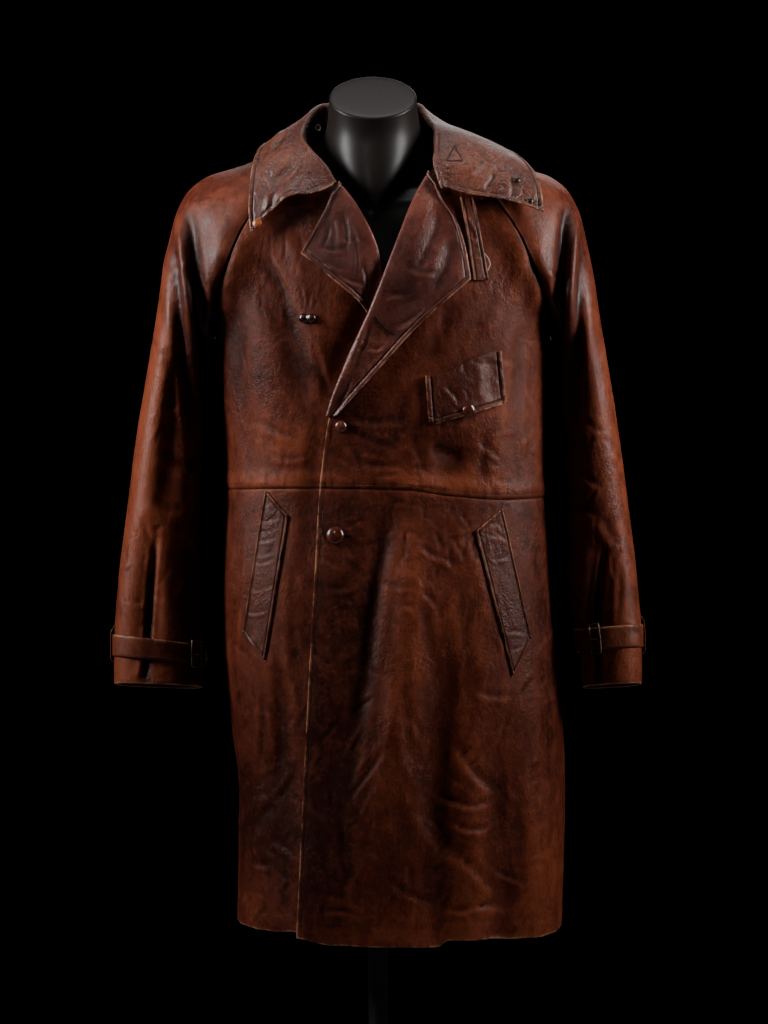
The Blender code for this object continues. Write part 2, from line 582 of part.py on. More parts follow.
def even_angles(starts, ends, columns):
    """Angles from each start to its end, evenly spaced along the body's girth."""
    rows = []
    for start, end in zip(np.ravel(starts), np.ravel(ends)):
        fine = np.linspace(start, end, 400)
        ring_points = body_ring(fine, np.full(fine.shape, WAIST_HEIGHT))
        run = np.linalg.norm(np.diff(ring_points, axis=0), axis=1)
        length = np.concatenate(([0.0], np.cumsum(run)))
        rows.append(np.interp(np.linspace(0, length[-1], columns + 1), length, fine))
    return np.array(rows)


def waist_height(angle):
    """Height of the waist seam at an angle round the body."""
    degrees = (np.degrees(angle) + 180) % 360 - 180
    return smooth(WAIST["angle"], WAIST["height"], degrees)


def front_skirt(side):
    """One front below the waist seam."""
    edge = FREE_EDGES[side]
    hem = LEFT_HEM if side == LEFT else RIGHT_HEM
    up = np.linspace(0, 1, SKIRT_ROWS + 1)[:, None]
    height = HEM_HEIGHT + up * (WAIST_HEIGHT - HEM_HEIGHT)
    for _ in range(4):
        free = front_angle(edge_x(edge, height[:, :1]), height[:, :1])
        angle = even_angles(free, np.full(free.shape, side * math.pi / 2), FRONT_COLUMNS)
        low = smooth(hem["angle"], hem["height"], np.degrees(angle))
        height = low + (waist_height(angle) - low) * up
    points, normals = body_surface(angle, height, side)
    cloth(f"{side_name(side)}_front_skirt", inset(points, ("top", "end")), normals, LEATHER)


def raglan_angle(seam, height):
    """Angle from the front or back middle to a raglan seam."""
    return np.arcsin(np.clip(smooth(seam["height"], seam["share"], height), 0, 1) ** (SQUARENESS / 2))


def seam_heights(top):
    """Heights down a raglan seam where panels and sleeves share their points."""
    share = np.linspace(0, 1, RAGLAN_ROWS + 1)
    return UNDERARM + (top - UNDERARM) * share


def upper_rows(side_waist, top):
    """Heights up a panel's side: from the waist seam to the underarm, then up the raglan seam."""
    low = np.linspace(side_waist, UNDERARM, SIDE_ROWS + 1)[:-1]
    return np.concatenate((low, seam_heights(top)))


def free_heights(side):
    """Heights of a front upper's rows along its free edge."""
    edge = FREE_EDGES[side]
    low = waist_height(front_angle(edge_x(edge, WAIST_HEIGHT), WAIST_HEIGHT))
    below = low + (LAPEL_HEIGHT - low) * np.array(BELOW_LAPEL)
    return np.concatenate((below, np.linspace(LAPEL_HEIGHT, edge["height"][-1], RAGLAN_ROWS + 1)))


def free_edge(side, height):
    """Sideways place of a front upper's free edge, along the straight runs between its rows."""
    rows = free_heights(side)
    return np.interp(height, rows, edge_x(FREE_EDGES[side], rows))


def front_upper(side):
    """One front above the waist seam, up to the neck between its roll line and its raglan seam."""
    side_angle = side * math.pi / 2
    side_height = upper_rows(waist_height(side_angle), SEAM_TOP_FRONT)
    above = np.clip(side_height, UNDERARM, None)
    outer_angle = side * np.where(side_height < UNDERARM, math.pi / 2, raglan_angle(RAGLAN_FRONT, above))
    free_height = free_heights(side)
    free_angle = front_angle(free_edge(side, free_height), free_height)
    across = np.linspace(0, 1, FRONT_COLUMNS + 1)[None, :]
    angle = even_angles(free_angle, outer_angle, FRONT_COLUMNS)
    height = free_height[:, None] + (side_height - free_height)[:, None] * across
    seat = waist_height(angle[0]) - height[0]
    fade = np.linspace(1, 0, len(height)) ** 3
    height = height + seat[None, :] * fade[:, None]
    points, normals = body_surface(angle, height, side)
    cloth(f"{side_name(side)}_front_upper", inset(points, ("bottom", "end")), normals, LEATHER)


def back_panels():
    """Upper back and back skirt, from the left side seam round to the right one."""
    across = np.linspace(0, 1, BACK_COLUMNS + 1)[None, :]
    side_height = upper_rows(waist_height(math.pi / 2), SEAM_TOP_BACK)
    above = np.clip(side_height, UNDERARM, None)
    reach = np.where(side_height < UNDERARM, math.pi / 2, raglan_angle(RAGLAN_BACK, above))
    angle = even_angles(math.pi - reach, math.pi + reach, BACK_COLUMNS)
    right_height = upper_rows(waist_height(-math.pi / 2), SEAM_TOP_BACK)[:, None]
    height = side_height[:, None] + (right_height - side_height[:, None]) * across
    seat = waist_height(angle[0]) - height[0]
    height = height + seat[None, :] * np.linspace(1, 0, len(height))[:, None] ** 3
    points, normals = body_surface(angle, height)
    cloth("back_upper", inset(points, ("bottom", "start", "end")), normals, LEATHER)

    angle = even_angles(math.pi / 2, 3 * math.pi / 2, BACK_COLUMNS)
    low = smooth(BACK_HEM["angle"], BACK_HEM["height"], np.degrees(angle))
    height = low + (waist_height(angle) - low) * np.linspace(0, 1, SKIRT_ROWS + 1)[:, None]
    points, normals = body_surface(*np.broadcast_arrays(angle, height))
    cloth("back_skirt", inset(points, ("top", "start", "end")), normals, LEATHER)


# Sleeves


def raglan_front(side, share):
    """Angle and height on the front raglan seam, by share from the underarm to the neck."""
    height = UNDERARM + (SEAM_TOP_FRONT - UNDERARM) * share
    return side * raglan_angle(RAGLAN_FRONT, height), height


def raglan_back(side, share):
    """Angle and height on the back raglan seam, by share from the underarm to the neck."""
    height = UNDERARM + (SEAM_TOP_BACK - UNDERARM) * share
    return side * (math.pi - raglan_angle(RAGLAN_BACK, height)), height


def sleeve_section(side, station):
    """Seam, overarm and reaches of the sleeve's sections, with x outwards from the middle."""
    under = UNDER_LEFT if side == LEFT else UNDER_RIGHT
    over = np.stack([smooth(OVERARM["station"], OVERARM[name], station) for name in "xyz"], axis=-1)
    low = np.stack([smooth(under["station"], under[name], np.minimum(station, 0)) for name in "xyz"], axis=-1)
    reaches = [smooth(REACH["station"], REACH[name], station)
               for name in ("seam_out", "seam_fore", "seam_up", "over_out", "over_fore", "over_up")]
    seam_reach = np.stack(reaches[:3], axis=-1)
    over_reach = np.stack(reaches[3:], axis=-1)
    share = np.clip(station, 0, 1)
    seams = []
    for seam in (raglan_front, raglan_back):
        points, normals = body_surface(*seam(side, share))
        points = points + normals * (SEAM_RISE * (1 - ease(0.25, 0.60, share)))[..., None]
        points = points * np.array((side, 1, 1))
        seams.append(np.where((station < 0)[..., None], low, points))
    return seams, over, seam_reach, over_reach


def plain_sleeve(side, station, place):
    """Outer face of a sleeve without its folds, by station and place round the section."""
    station, place = np.broadcast_arrays(np.asarray(station, float), np.asarray(place, float))
    (front_seam, back_seam), over, seam_reach, over_reach = sleeve_section(side, station)
    behind = (place > 1)[..., None]
    seam = np.where(behind, back_seam, front_seam)
    way = np.where(behind, np.array((1.0, 1.0, 1.0)), np.array((1.0, -1.0, 1.0)))
    t = np.where(place > 1, 2 - place, place)[..., None]
    first = seam + seam_reach * way
    second = over + over_reach * way
    points = bezier(t, seam, first, second, over)
    points[..., 2] += CUFF_TILT * (over[..., 1] - points[..., 1]) * ease(-0.60, -1.0, station)
    return points


def sleeve_normal(face, station, place):
    """Outward normal of a sleeve surface, by small steps that wrap round the closed tube."""
    step = 0.006
    closed = station < -step
    after = np.where(closed, (place + step) % 2, np.clip(place + step, 0, 2))
    before = np.where(closed, (place - step) % 2, np.clip(place - step, 0, 2))
    around = face(station, after) - face(station, before)
    along = face(np.clip(station + step, -1, 1), place) - face(np.clip(station - step, -1, 1), place)
    return unit(np.cross(around, along))


def draped_sleeve(side, station, place):
    """Outer face of a sleeve with its folds."""
    def plain(at_station, at_place):
        return plain_sleeve(side, at_station, at_place)
    points = plain(station, place)
    x, height = points[..., 0], points[..., 2]
    front = fold_depth(SLEEVE_FRONT_FOLDS[side], "height", "x", height, x) * ease(*FRONT_FOLD_SPAN, place)
    back = fold_depth(SLEEVE_BACK_FOLDS[side], "height", "x", height, x) * ease(*BACK_FOLD_SPAN, place)
    return points - sleeve_normal(plain, station, place) * (front + back)[..., None]


def sleeve_surface(side, station, place, folded=True):
    """Points and outward normals of a sleeve in the coat's own frame."""
    station, place = np.broadcast_arrays(np.asarray(station, float), np.asarray(place, float))

    def face(at_station, at_place):
        made = draped_sleeve if folded else plain_sleeve
        return made(side, at_station, at_place)
    mirror = np.array((side, 1, 1))
    return face(station, place) * mirror, sleeve_normal(face, station, place) * mirror


def sleeve(side):
    """One raglan sleeve, from the cuff to the neck, sewn under the arm."""
    arm = np.linspace(-1, 0, ARM_ROWS + 1)[:-1]
    station = np.concatenate((arm, np.linspace(0, 1, RAGLAN_ROWS + 1)))[:, None]
    front_place = np.linspace(0, 1, SLEEVE_FRONT_COLUMNS + 1)[:-1]
    place = np.concatenate((front_place, np.linspace(1, 2, SLEEVE_BACK_COLUMNS + 1)))[None, :]
    points, normals = sleeve_surface(side, station, place)
    share = np.clip(station[:, 0], 0, 1)
    weight = ease(*SHARED_NORMALS, share)[:, None]
    for column, angle, height in ((0, *raglan_front(side, share)), (-1, *raglan_back(side, share))):
        body = body_surface(angle, height)[1]
        normals[:, column] = unit(normals[:, column] * (1 - weight) + body * weight)
    cloth(f"{side_name(side)}_sleeve", inset(points, ("start", "end")), normals, LEATHER)


# Collar and lapels


def collar():
    """Turn-down collar: stand, roll and fall in one piece."""
    knots = np.linspace(0, 1, len(COLLAR["radius"]))
    at = np.linspace(0, 1, COLLAR_ROWS + 1)
    neck, roll, edge = (np.stack([smooth(knots, COLLAR[f"{part}_{axis}"], at) for axis in "xyz"], axis=-1)
                        for part in ("neck", "roll", "edge"))
    radius, bow = (smooth(knots, COLLAR[name], at)[:, None] for name in ("radius", "bow"))
    up = np.array((0.0, 0.0, 1.0))
    out = unit((edge - roll) * np.array((1, 1, 0)))
    centre = roll - radius * up
    columns = []
    for share in np.linspace(0, 1, STAND_COLUMNS + 1)[:-1]:
        columns.append(neck + (centre - radius * out - neck) * share)
    for turn in np.linspace(math.pi, ROLL_END, ROLL_COLUMNS + 1):
        columns.append(centre + radius * (math.cos(turn) * out + math.sin(turn) * up))
    start = columns[-1]
    length = np.linalg.norm(edge - start, axis=-1, keepdims=True)
    leaving = math.sin(ROLL_END) * out - math.cos(ROLL_END) * up
    first = start + leaving * length * FALL_REACH["down"] + (edge - start) * FALL_REACH["first"] + up * bow
    second = start + (edge - start) * FALL_REACH["second"] + up * bow
    for t in np.linspace(0, 1, FALL_COLUMNS + 1)[1:]:
        columns.append(bezier(t, start, first, second, edge))
    points = np.stack(columns, axis=1)
    normals = grid_normals(points)
    cloth("collar", points, normals, FOLDED_LEATHER)
    return points, normals


def grid_normals(points):
    """Normals of a grid, from its neighbours along rows and columns."""
    return unit(np.cross(np.gradient(points, axis=1), np.gradient(points, axis=0)))


def lapel(side):
    """One lapel: the roll at the front's edge, then the leaf lying back on the front."""
    rows = LAPELS[side]
    knots = np.arange(len(rows["roll_z"]), dtype=float)
    at = np.linspace(0, knots[-1], 2 * len(knots) - 1)
    values = {name: np.interp(at, knots, column)[:, None] for name, column in rows.items()}
    across = np.linspace(0, 1, LAPEL_COLUMNS + 1)[None, :]
    roll_x = free_edge(side, values["roll_z"])
    x = roll_x + (values["edge_x"] - roll_x) * across
    height = values["roll_z"] + (values["edge_z"] - values["roll_z"]) * across
    face, normals = front_surface(side, x, height)
    face[:, 1:] = on_panel(f"{side_name(side)}_front_upper", face[:, 1:], normals[:, 1:])
    lift = values["edge_lift"] + (values["roll_lift"] - values["edge_lift"]) * (1 - across) ** 2
    leaf = face + normals * lift[..., None]
    inward = unit(face[:, 1] - face[:, 0])
    normal = normals[:, 0]
    lifted = values["roll_lift"]
    radius = (lifted + LEATHER) / 2
    middle = face[:, 0] - inward * LAPEL_GAP + normal * (lifted - LEATHER) / 2
    turns = np.radians(LAPEL_BEND)
    bend = [middle + radius * (normal * math.sin(turn) - inward * math.cos(turn)) for turn in turns]
    bend_normals = [normal * math.sin(turn) - inward * math.cos(turn) for turn in turns]
    points = np.concatenate((np.stack(bend, axis=1), leaf), axis=1)
    all_normals = np.concatenate((np.stack(bend_normals, axis=1), normals), axis=1)
    cloth(f"{side_name(side)}_lapel", points, all_normals, LEATHER)


# Pieces sewn on


def patch(name, panel, corners, rows, columns, swell=0.0):
    """A piece between four corners on a front, moved out from its points."""
    across = np.linspace(0, 1, columns + 1)[None, :]
    down = np.linspace(0, 1, rows + 1)[:, None]
    x, height = ((1 - down) * ((1 - across) * corners[axis][0] + across * corners[axis][1])
                 + down * ((1 - across) * corners[axis][3] + across * corners[axis][2]) for axis in "xz")
    points, normals = front_surface(panel_side(panel), x, height)
    points = on_panel(panel, points, normals)
    lift = SEAT + LEATHER + swell * down * np.sin(math.pi * across * 0.9) ** 2
    return cloth(name, points + normals * lift[..., None], normals, LEATHER)


def strap_line(side, place):
    """Station of a cuff strap's middle at a place round the sleeve."""
    strap = CUFF_STRAPS[side]
    return strap["under"] + (strap["over"] - strap["under"]) * (1 - np.abs(1 - place % 2))


def cuff_strap(side):
    """A strap once round the cuff, its pointed end lying over its start."""
    strap = CUFF_STRAPS[side]
    along = np.linspace(0, 1, STRAP_COLUMNS + 1)[None, :]
    across = np.array((-1.0, 0.0, 1.0))[:, None]
    place = strap["start"] + strap["run"] * along
    tip = 1 - STRAP_TIP_CUT * ease(*STRAP_TIP, along)
    station = strap_line(side, place) + across * strap["half_width"] * tip
    points, normals = sleeve_surface(side, station, place % 2, folded=False)
    over_start = ease(*STRAP_LAP, along)
    lift = SEAT + LEATHER + (LEATHER + SEAT) * over_start
    cloth(f"{side_name(side)}_cuff_strap", points + normals * lift[..., None], normals, LEATHER)


def cuff_keeper(side):
    """The loop that holds a cuff strap at the overarm seam."""
    across = np.linspace(-1, 1, KEEPER["rows"] + 1)[:, None]
    place = np.linspace(*KEEPER["places"], 3)[None, :]
    station = strap_line(side, place) + across * KEEPER["half_length"]
    points, normals = sleeve_surface(side, station, place, folded=False)
    over_strap = ease(*KEEPER["rise"], np.abs(across))
    lift = SEAT + LEATHER + (LEATHER + SEAT) * over_strap
    cloth(f"{side_name(side)}_cuff_keeper", points + normals * lift[..., None], normals, LEATHER)


def cuff_buckle(side):
    """A wire buckle lying on the strap by the inner seam."""
    name = f"{side_name(side)}_cuff_buckle"
    reach = CUFF_STRAPS[side]["half_width"] + BUCKLE["overhang"]
    first, last = BUCKLE["places"][side]
    ways = np.linspace(-1, 1, BUCKLE["steps"])
    loop = [(first, way) for way in ways] + [(last, way) for way in ways[::-1]]
    wire = BUCKLE["wire"]
    seat = SEAT + LEATHER + SEAM + wire
    curve = bpy.data.curves.new(name, "CURVE")
    curve.dimensions = "3D"
    curve.bevel_depth = wire
    curve.bevel_resolution = 1
    spline = curve.splines.new("POLY")
    spline.points.add(len(loop) - 1)
    spline.use_cyclic_u = True
    for point, (place, way) in zip(spline.points, loop):
        station = strap_line(side, place) + way * reach
        position, normal = sleeve_surface(side, np.array(station), np.array(place), folded=False)
        point.co = (*(position + normal * seat), 1.0)
    add_object(name, curve, "metal")


# Buttons and fittings


def seated(panel, base, normal, radius):
    """A flat base's centre, moved out until its rim clears the piece below by a seam."""
    side = unit(np.cross(normal, (0.0, 0.0, 1.0)))
    turns = np.linspace(0, 2 * math.pi, 12, endpoint=False)[:, None]
    rim = radius * (np.cos(turns) * side + np.sin(turns) * np.cross(normal, side))
    around = base + np.concatenate((rim, rim * 0.67, rim * 0.33, rim * 0.0))
    found = on_panel(panel, around, np.broadcast_to(normal, around.shape))
    return base + normal * (np.max((found - base) @ normal) + SEAM)


def domed_button(name, base, normal, radius, rise, finish, segments=14):
    """A flat-backed dome with a rolled rim, turned about its own axis and set on a surface."""
    profile = [(radius * out, 0.0, rise * up) for out, up in BUTTON_PROFILE]
    mesh = bpy.data.meshes.new(name)
    mesh.from_pydata(profile, [(i, i + 1) for i in range(len(profile) - 1)], [])
    made = add_object(name, mesh, finish)
    turned = made.modifiers.new("Turned", "SCREW")
    turned.axis = "Z"
    turned.steps = segments
    turned.render_steps = segments
    turned.use_merge_vertices = True
    turned.merge_threshold = 0.00001
    aligned(made, base, normal)


def adopt(made, name, finish):
    """Move a new primitive into the coat's collection, under its empty."""
    made.name = name
    for holder in made.users_collection:
        holder.objects.unlink(made)
    collection.objects.link(made)
    made.parent = root
    made.data.materials.append(material(finish))


def front_buttons():
    """Buttons on the fronts and on the breast pocket's flap."""
    for name, button in BUTTONS.items():
        side = RIGHT if button["on"].startswith("right") else LEFT
        base, normal = front_surface(side, np.array(button["x"]), np.array(button["z"]))
        base = seated(button["on"], base, normal, button["radius"])
        finish = "dark_leather" if name == "toggle_button" else "button"
        domed_button(name, base, normal, button["radius"], button["rise"], finish)


def collar_fittings(points, normals):
    """Button on the right point of the collar, two studs on the left one and an eyelet in the stand."""
    for name, fitting in COLLAR_FITTINGS.items():
        place = fitting["row"], fitting["column"]
        base = seated("collar", points[place], normals[place], fitting["radius"])
        domed_button(name, base, normals[place], fitting["radius"], fitting["rise"], fitting["finish"], segments=12)
    place = EYELET["row"], EYELET["column"]
    radius, wire = EYELET["radius"], EYELET["wire"]
    bpy.ops.mesh.primitive_torus_add(major_radius=radius, minor_radius=wire, major_segments=14, minor_segments=6)
    made = bpy.context.object
    adopt(made, "collar_eyelet", "metal")
    base = seated("collar", points[place], normals[place], radius)
    aligned(made, base + normals[place] * wire, normals[place])


# Form and stand


def dress_form():
    """Limbless form: rings from the hip to the tilted neck."""
    turn = np.arange(RING_POINTS) * 2 * math.pi / RING_POINTS
    sine, cosine = np.sin(turn), np.cos(turn)
    mesh_build = bmesh.new()
    rings = []
    for height, y, half, front, back, tilt in zip(*(FORM[name] for name in FORM)):
        lean = math.radians(tilt)
        forward = np.where(cosine >= 0, front, back) * cosine
        shift = CAP_CENTRE[0] * ease(1.40, 1.50, height)
        rows = zip(half * sine + shift, y - forward * math.cos(lean), height - forward * math.sin(lean))
        rings.append([mesh_build.verts.new(point) for point in rows])
    for lower, upper in zip(rings, rings[1:]):
        for index in range(RING_POINTS):
            after = (index + 1) % RING_POINTS
            mesh_build.faces.new((lower[index], lower[after], upper[after], upper[index]))
    mesh_build.faces.new(rings[0])
    mesh_build.faces.new(rings[-1])
    bmesh.ops.recalc_face_normals(mesh_build, faces=mesh_build.faces)
    mesh = bpy.data.meshes.new("dress_form")
    mesh_build.to_mesh(mesh)
    mesh_build.free()
    mesh.shade_smooth()
    mesh.set_sharp_from_angle(angle=SHARP_EDGE)
    add_object("dress_form", mesh, "form")


def stand():
    """Pole and round base under the form."""
    pole_length = FORM_BOTTOM - BASE_HEIGHT - 2 * SEAM
    for name, radius, length, bottom, sides in (
            ("stand_pole", POLE_RADIUS, pole_length, BASE_HEIGHT + SEAM, 20),
            ("stand_base", BASE_RADIUS, BASE_HEIGHT, 0.0, 40)):
        bpy.ops.mesh.primitive_cylinder_add(vertices=sides, radius=radius, depth=length,
                                            location=(0, 0, bottom + length / 2))
        adopt(bpy.context.object, name, "stand")


for leftover in list(bpy.data.objects):
    bpy.data.objects.remove(leftover, do_unlink=True)
collection = bpy.data.collections.new("leather_coat")
bpy.context.scene.collection.children.link(collection)
root = bpy.data.objects.new("coat_and_form", None)
collection.objects.link(root)

back_panels()
for each_side in (RIGHT, LEFT):
    front_upper(each_side)
    front_skirt(each_side)
    sleeve(each_side)
    lapel(each_side)
    cuff_strap(each_side)
    cuff_keeper(each_side)
    cuff_buckle(each_side)
collar_points, collar_normals = collar()
patch("throat_strap", "left_front_upper", THROAT_STRAP, 5, 2)
patch("breast_pocket_flap", "left_front_upper", BREAST_FLAP, 4, 7, swell=0.003)
patch("right_pocket_welt", "right_front_skirt", RIGHT_WELT, 10, 4)
patch("left_pocket_welt", "left_front_skirt", LEFT_WELT, 10, 4)
front_buttons()
collar_fittings(collar_points, collar_normals)
dress_form()
stand()
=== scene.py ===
import math

import bpy
import numpy as np
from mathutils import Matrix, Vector


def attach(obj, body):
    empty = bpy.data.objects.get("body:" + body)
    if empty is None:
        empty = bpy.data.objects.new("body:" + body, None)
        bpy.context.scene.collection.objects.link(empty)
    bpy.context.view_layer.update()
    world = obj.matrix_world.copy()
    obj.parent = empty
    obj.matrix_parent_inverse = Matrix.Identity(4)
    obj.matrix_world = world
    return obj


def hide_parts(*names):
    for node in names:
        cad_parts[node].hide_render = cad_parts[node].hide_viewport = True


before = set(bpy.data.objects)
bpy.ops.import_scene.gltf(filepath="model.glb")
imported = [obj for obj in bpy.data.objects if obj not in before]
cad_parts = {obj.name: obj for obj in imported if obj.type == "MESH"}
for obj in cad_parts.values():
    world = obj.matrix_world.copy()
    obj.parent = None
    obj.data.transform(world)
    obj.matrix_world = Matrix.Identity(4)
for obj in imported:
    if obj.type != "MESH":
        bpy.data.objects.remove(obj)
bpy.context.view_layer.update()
print("frame loaded")

left, right = 1, -1
leather = 0.002
foldedLeather = 0.0022
stitchRuns = []  # every sewn line: points and normals
panels = {}  # finished grids by piece, for fittings
# how far from its edge each kind of seam is stitched
stitchIn = dict(turned=0.007, lapped=0.0052, raglan=0.0042, strap=0.004, piped=0.0046)

# where the camera stands, and metres to a photo pixel at the coat's middle
view = dict(x=0.0084, y=-4.5, z=0.945, pixel=0.0014, lens=113, middleX=384, middleY=512)


def sideWord(side):
    return "left" if side == left else "right"


# numbers and curves

def table(columns, text):  # named columns of numbers, a semicolon between rows
    rows = [[float(number) for number in row.split()] for row in text.split(";")]
    return dict(zip(columns.split(), np.array(rows).T))


def smooth(knots, values, at):  # cubic between a table's rows that never overshoots them
    steps = np.diff(knots)
    slopes = np.diff(values) / steps
    before, after = slopes[:-1], slopes[1:]
    weightBefore = 2 * steps[1:] + steps[:-1]
    weightAfter = steps[1:] + 2 * steps[:-1]
    sameWay = before * after > 0
    safeBefore, safeAfter = np.where(sameWay, before, 1.0), np.where(sameWay, after, 1.0)
    mean = (weightBefore + weightAfter) / (weightBefore / safeBefore + weightAfter / safeAfter)
    tangents = np.concatenate(([slopes[0]], np.where(sameWay, mean, 0.0), [slopes[-1]]))
    row = np.clip(np.searchsorted(knots, at, side="right") - 1, 0, len(steps) - 1)
    step = steps[row]
    t = np.clip((at - knots[row]) / step, 0.0, 1.0)
    rise = values[row + 1] - values[row]
    curve = values[row] + rise * t * t * (3 - 2 * t)
    return curve + step * t * (1 - t) * (tangents[row] * (1 - t) - tangents[row + 1] * t)


def ease(low, high, at):
    t = np.clip((np.asarray(at, float) - low) / (high - low), 0.0, 1.0)
    return t * t * (3 - 2 * t)


def bell(distance, width):
    return np.exp(-(distance / width) ** 2)


def unit(vectors):
    return vectors / np.maximum(np.linalg.norm(vectors, axis=-1, keepdims=True), 1e-12)


def bezier(t, start, first, second, end):
    return (1 - t) ** 3 * start + 3 * t * (1 - t) ** 2 * first + 3 * t * t * (1 - t) * second + t ** 3 * end


def gridNormals(points):
    return unit(np.cross(np.gradient(points, axis=1), np.gradient(points, axis=0)))


def evened(points, times):  # each row drawn towards its neighbours, again and again
    points = points.copy()
    for _ in range(times):
        points[1:-1] = (points[:-2] + 2 * points[1:-1] + points[2:]) / 4
    return points


# finer steps by an edge, where seams are shaped
edgeSteps = np.array((0.0, 0.0018, 0.0034, 0.0048, 0.0058, 0.0066, 0.0074, 0.0083, 0.0096, 0.0118))


def shares(length, count):  # 0 to 1 with finer steps by both ends
    near = edgeSteps / length
    return np.concatenate((near, np.linspace(near[-1], 1 - near[-1], count)[1:-1], 1 - near[::-1]))


noiseLattice = np.random.default_rng(11).random((32, 32, 32)) * 2 - 1


def softNoise(points, size, shift=0.0):  # smooth bumps from -1 to 1, one bump to a size
    place = points / np.asarray(size) + shift
    cell = np.floor(place).astype(int)
    t = place - cell
    t = t * t * (3 - 2 * t)
    total = 0.0
    for corner in np.ndindex(2, 2, 2):
        weight = np.prod([t[..., axis] if corner[axis] else 1 - t[..., axis] for axis in range(3)], axis=0)
        a, b, c = ((cell[..., axis] + corner[axis]) % 32 for axis in range(3))
        total = total + weight * noiseLattice[a, b, c]
    return total


# folds and creases

def foldList(text):  # a bar between folds
    return [table("height x width depth", rows) for rows in text.split("|")]


def foldDepth(folds, height, place):  # how deep the main folds are
    fade = 0.03
    total = np.zeros(np.broadcast(height, place).shape)
    for fold in folds:
        order = np.argsort(fold["height"])
        knots = fold["height"][order]
        centre, width, depth = (smooth(knots, fold[name][order], height) for name in ("x", "width", "depth"))
        inside = ease(knots[0] - fade, knots[0], height) * (1 - ease(knots[-1], knots[-1] + fade, height))
        total = total + inside * depth * bell(place - centre, width)
    return total


def photoPlace(points):  # where the camera sees a point, in photo pixels
    pixel = view["pixel"] * (points[..., 1] - view["y"]) / -view["y"]
    return (view["middleX"] + (points[..., 0] - view["x"]) / pixel,
            view["middleY"] - (points[..., 2] - view["z"]) / pixel)


def rounded(path):
    path = np.array(path, float)
    for _ in range(2):
        cut = np.stack((path[:-1] * 0.75 + path[1:] * 0.25, path[:-1] * 0.25 + path[1:] * 0.75), 1)
        path = np.concatenate((path[:1], cut.reshape(-1, 2), path[-1:]))
    return path


def nearPath(u, v, path):  # distance to a line, the side of it and the share along it
    path = rounded(path)
    steps = np.diff(path, axis=0)
    lengths = np.hypot(*steps.T)
    run = np.concatenate(([0.0], np.cumsum(lengths)))
    best = np.full(u.shape, 1e9)
    side, share = np.zeros(u.shape), np.zeros(u.shape)
    for start, step, length, before in zip(path[:-1], steps, lengths, run):
        a, b = u - start[0], v - start[1]
        t = np.clip((a * step[0] + b * step[1]) / length ** 2, 0, 1)
        distance = np.hypot(a - t * step[0], b - t * step[1])
        closer = distance < best
        best = np.where(closer, distance, best)
        side = np.where(closer, np.sign(step[0] * b - step[1] * a), side)
        share = np.where(closer, (before + t * length) / run[-1], share)
    return best, side, share


# kind, width in pixels, depth in mm and path in photo pixels, with a semicolon between creases
def creaseRows(text):
    made = []
    for row in text.split(";"):
        kind, width, depth, *path = row.split()
        spots = [[float(number) for number in spot.split(",")] for spot in path]
        made.append((kind, float(width), float(depth), *spots))
    return tuple(made)


# how steeply wide and narrow creases rise, where they fade along their length, and how far they spread
wideCrease = dict(rise=0.00075, begun=0.18, ending=0.78, spread=0.85)
narrowCrease = dict(rise=0.0008, begun=0.3, ending=0.62, spread=0.6)


def creaseLift(points, creases):
    u, v = photoPlace(points)
    lift = np.zeros(u.shape)
    for kind, width, depth, *path in creases:
        form = wideCrease if width > 5 else narrowCrease
        low, high = np.min(path, axis=0) - 4.5 * width, np.max(path, axis=0) + 4.5 * width
        near = (u > low[0]) & (u < high[0]) & (v > low[1]) & (v < high[1])
        distance, side, share = nearPath(u[near], v[near], path)
        strength = depth * form["rise"] * ease(0.0, form["begun"], share)
        strength = strength * (1 - ease(form["ending"], 1.0, share))
        d = distance / (width * form["spread"])
        if kind == "trough":
            lift[near] += strength * (0.28 * bell(d - 1.9, 0.9) - np.exp(-d * d))
        elif kind == "ridge":
            lift[near] += strength * np.exp(-d * d)
        else:  # a fold: one lip stands, the other sinks
            lift[near] += strength * side * d * np.exp(0.5 - 0.5 * d * d)
    return lift


def scattered(seed, count, box, lean, spread=38, strong=1.0):  # small creases between the main ones
    chance = np.random.default_rng(seed)
    made = []
    for _ in range(count):
        middle = np.array(box[:2]) + chance.random(2) * (np.array(box[2:]) - box[:2])
        turn = math.radians(lean + spread * chance.normal())
        along = np.array((math.sin(turn), math.cos(turn))) * (7 + 17 * chance.random() ** 2)
        bend = np.array((along[1], -along[0])) * chance.normal() * 0.16
        made.append((("fold", "trough", "ridge")[chance.integers(3)], 2.4 + 2.2 * chance.random(),
                     strong * (0.4 + 0.8 * chance.random()), middle - along, middle + bend, middle + along))
    return tuple(made)


def puckers(spots, path):  # small troughs by the waist seam: each one's x and drop, and the path they share
    return tuple(("trough", 3, 0.8, *((x + aside, y + drop) for aside, y in path)) for x, drop in spots)


def looseLift(points, amount=1.0):  # slight waves all over the leather
    slow = softNoise(points * (1, 1, 0.35), 0.05, 3.7)
    quick = softNoise(points * (1, 1, 0.5), 0.019, 9.1)
    small = softNoise(points * (1, 1, 0.6), 0.0085, 1.4)
    return amount * (0.0009 * slow + 0.00045 * quick * ease(-0.4, 0.6, slow) + 0.00016 * small)


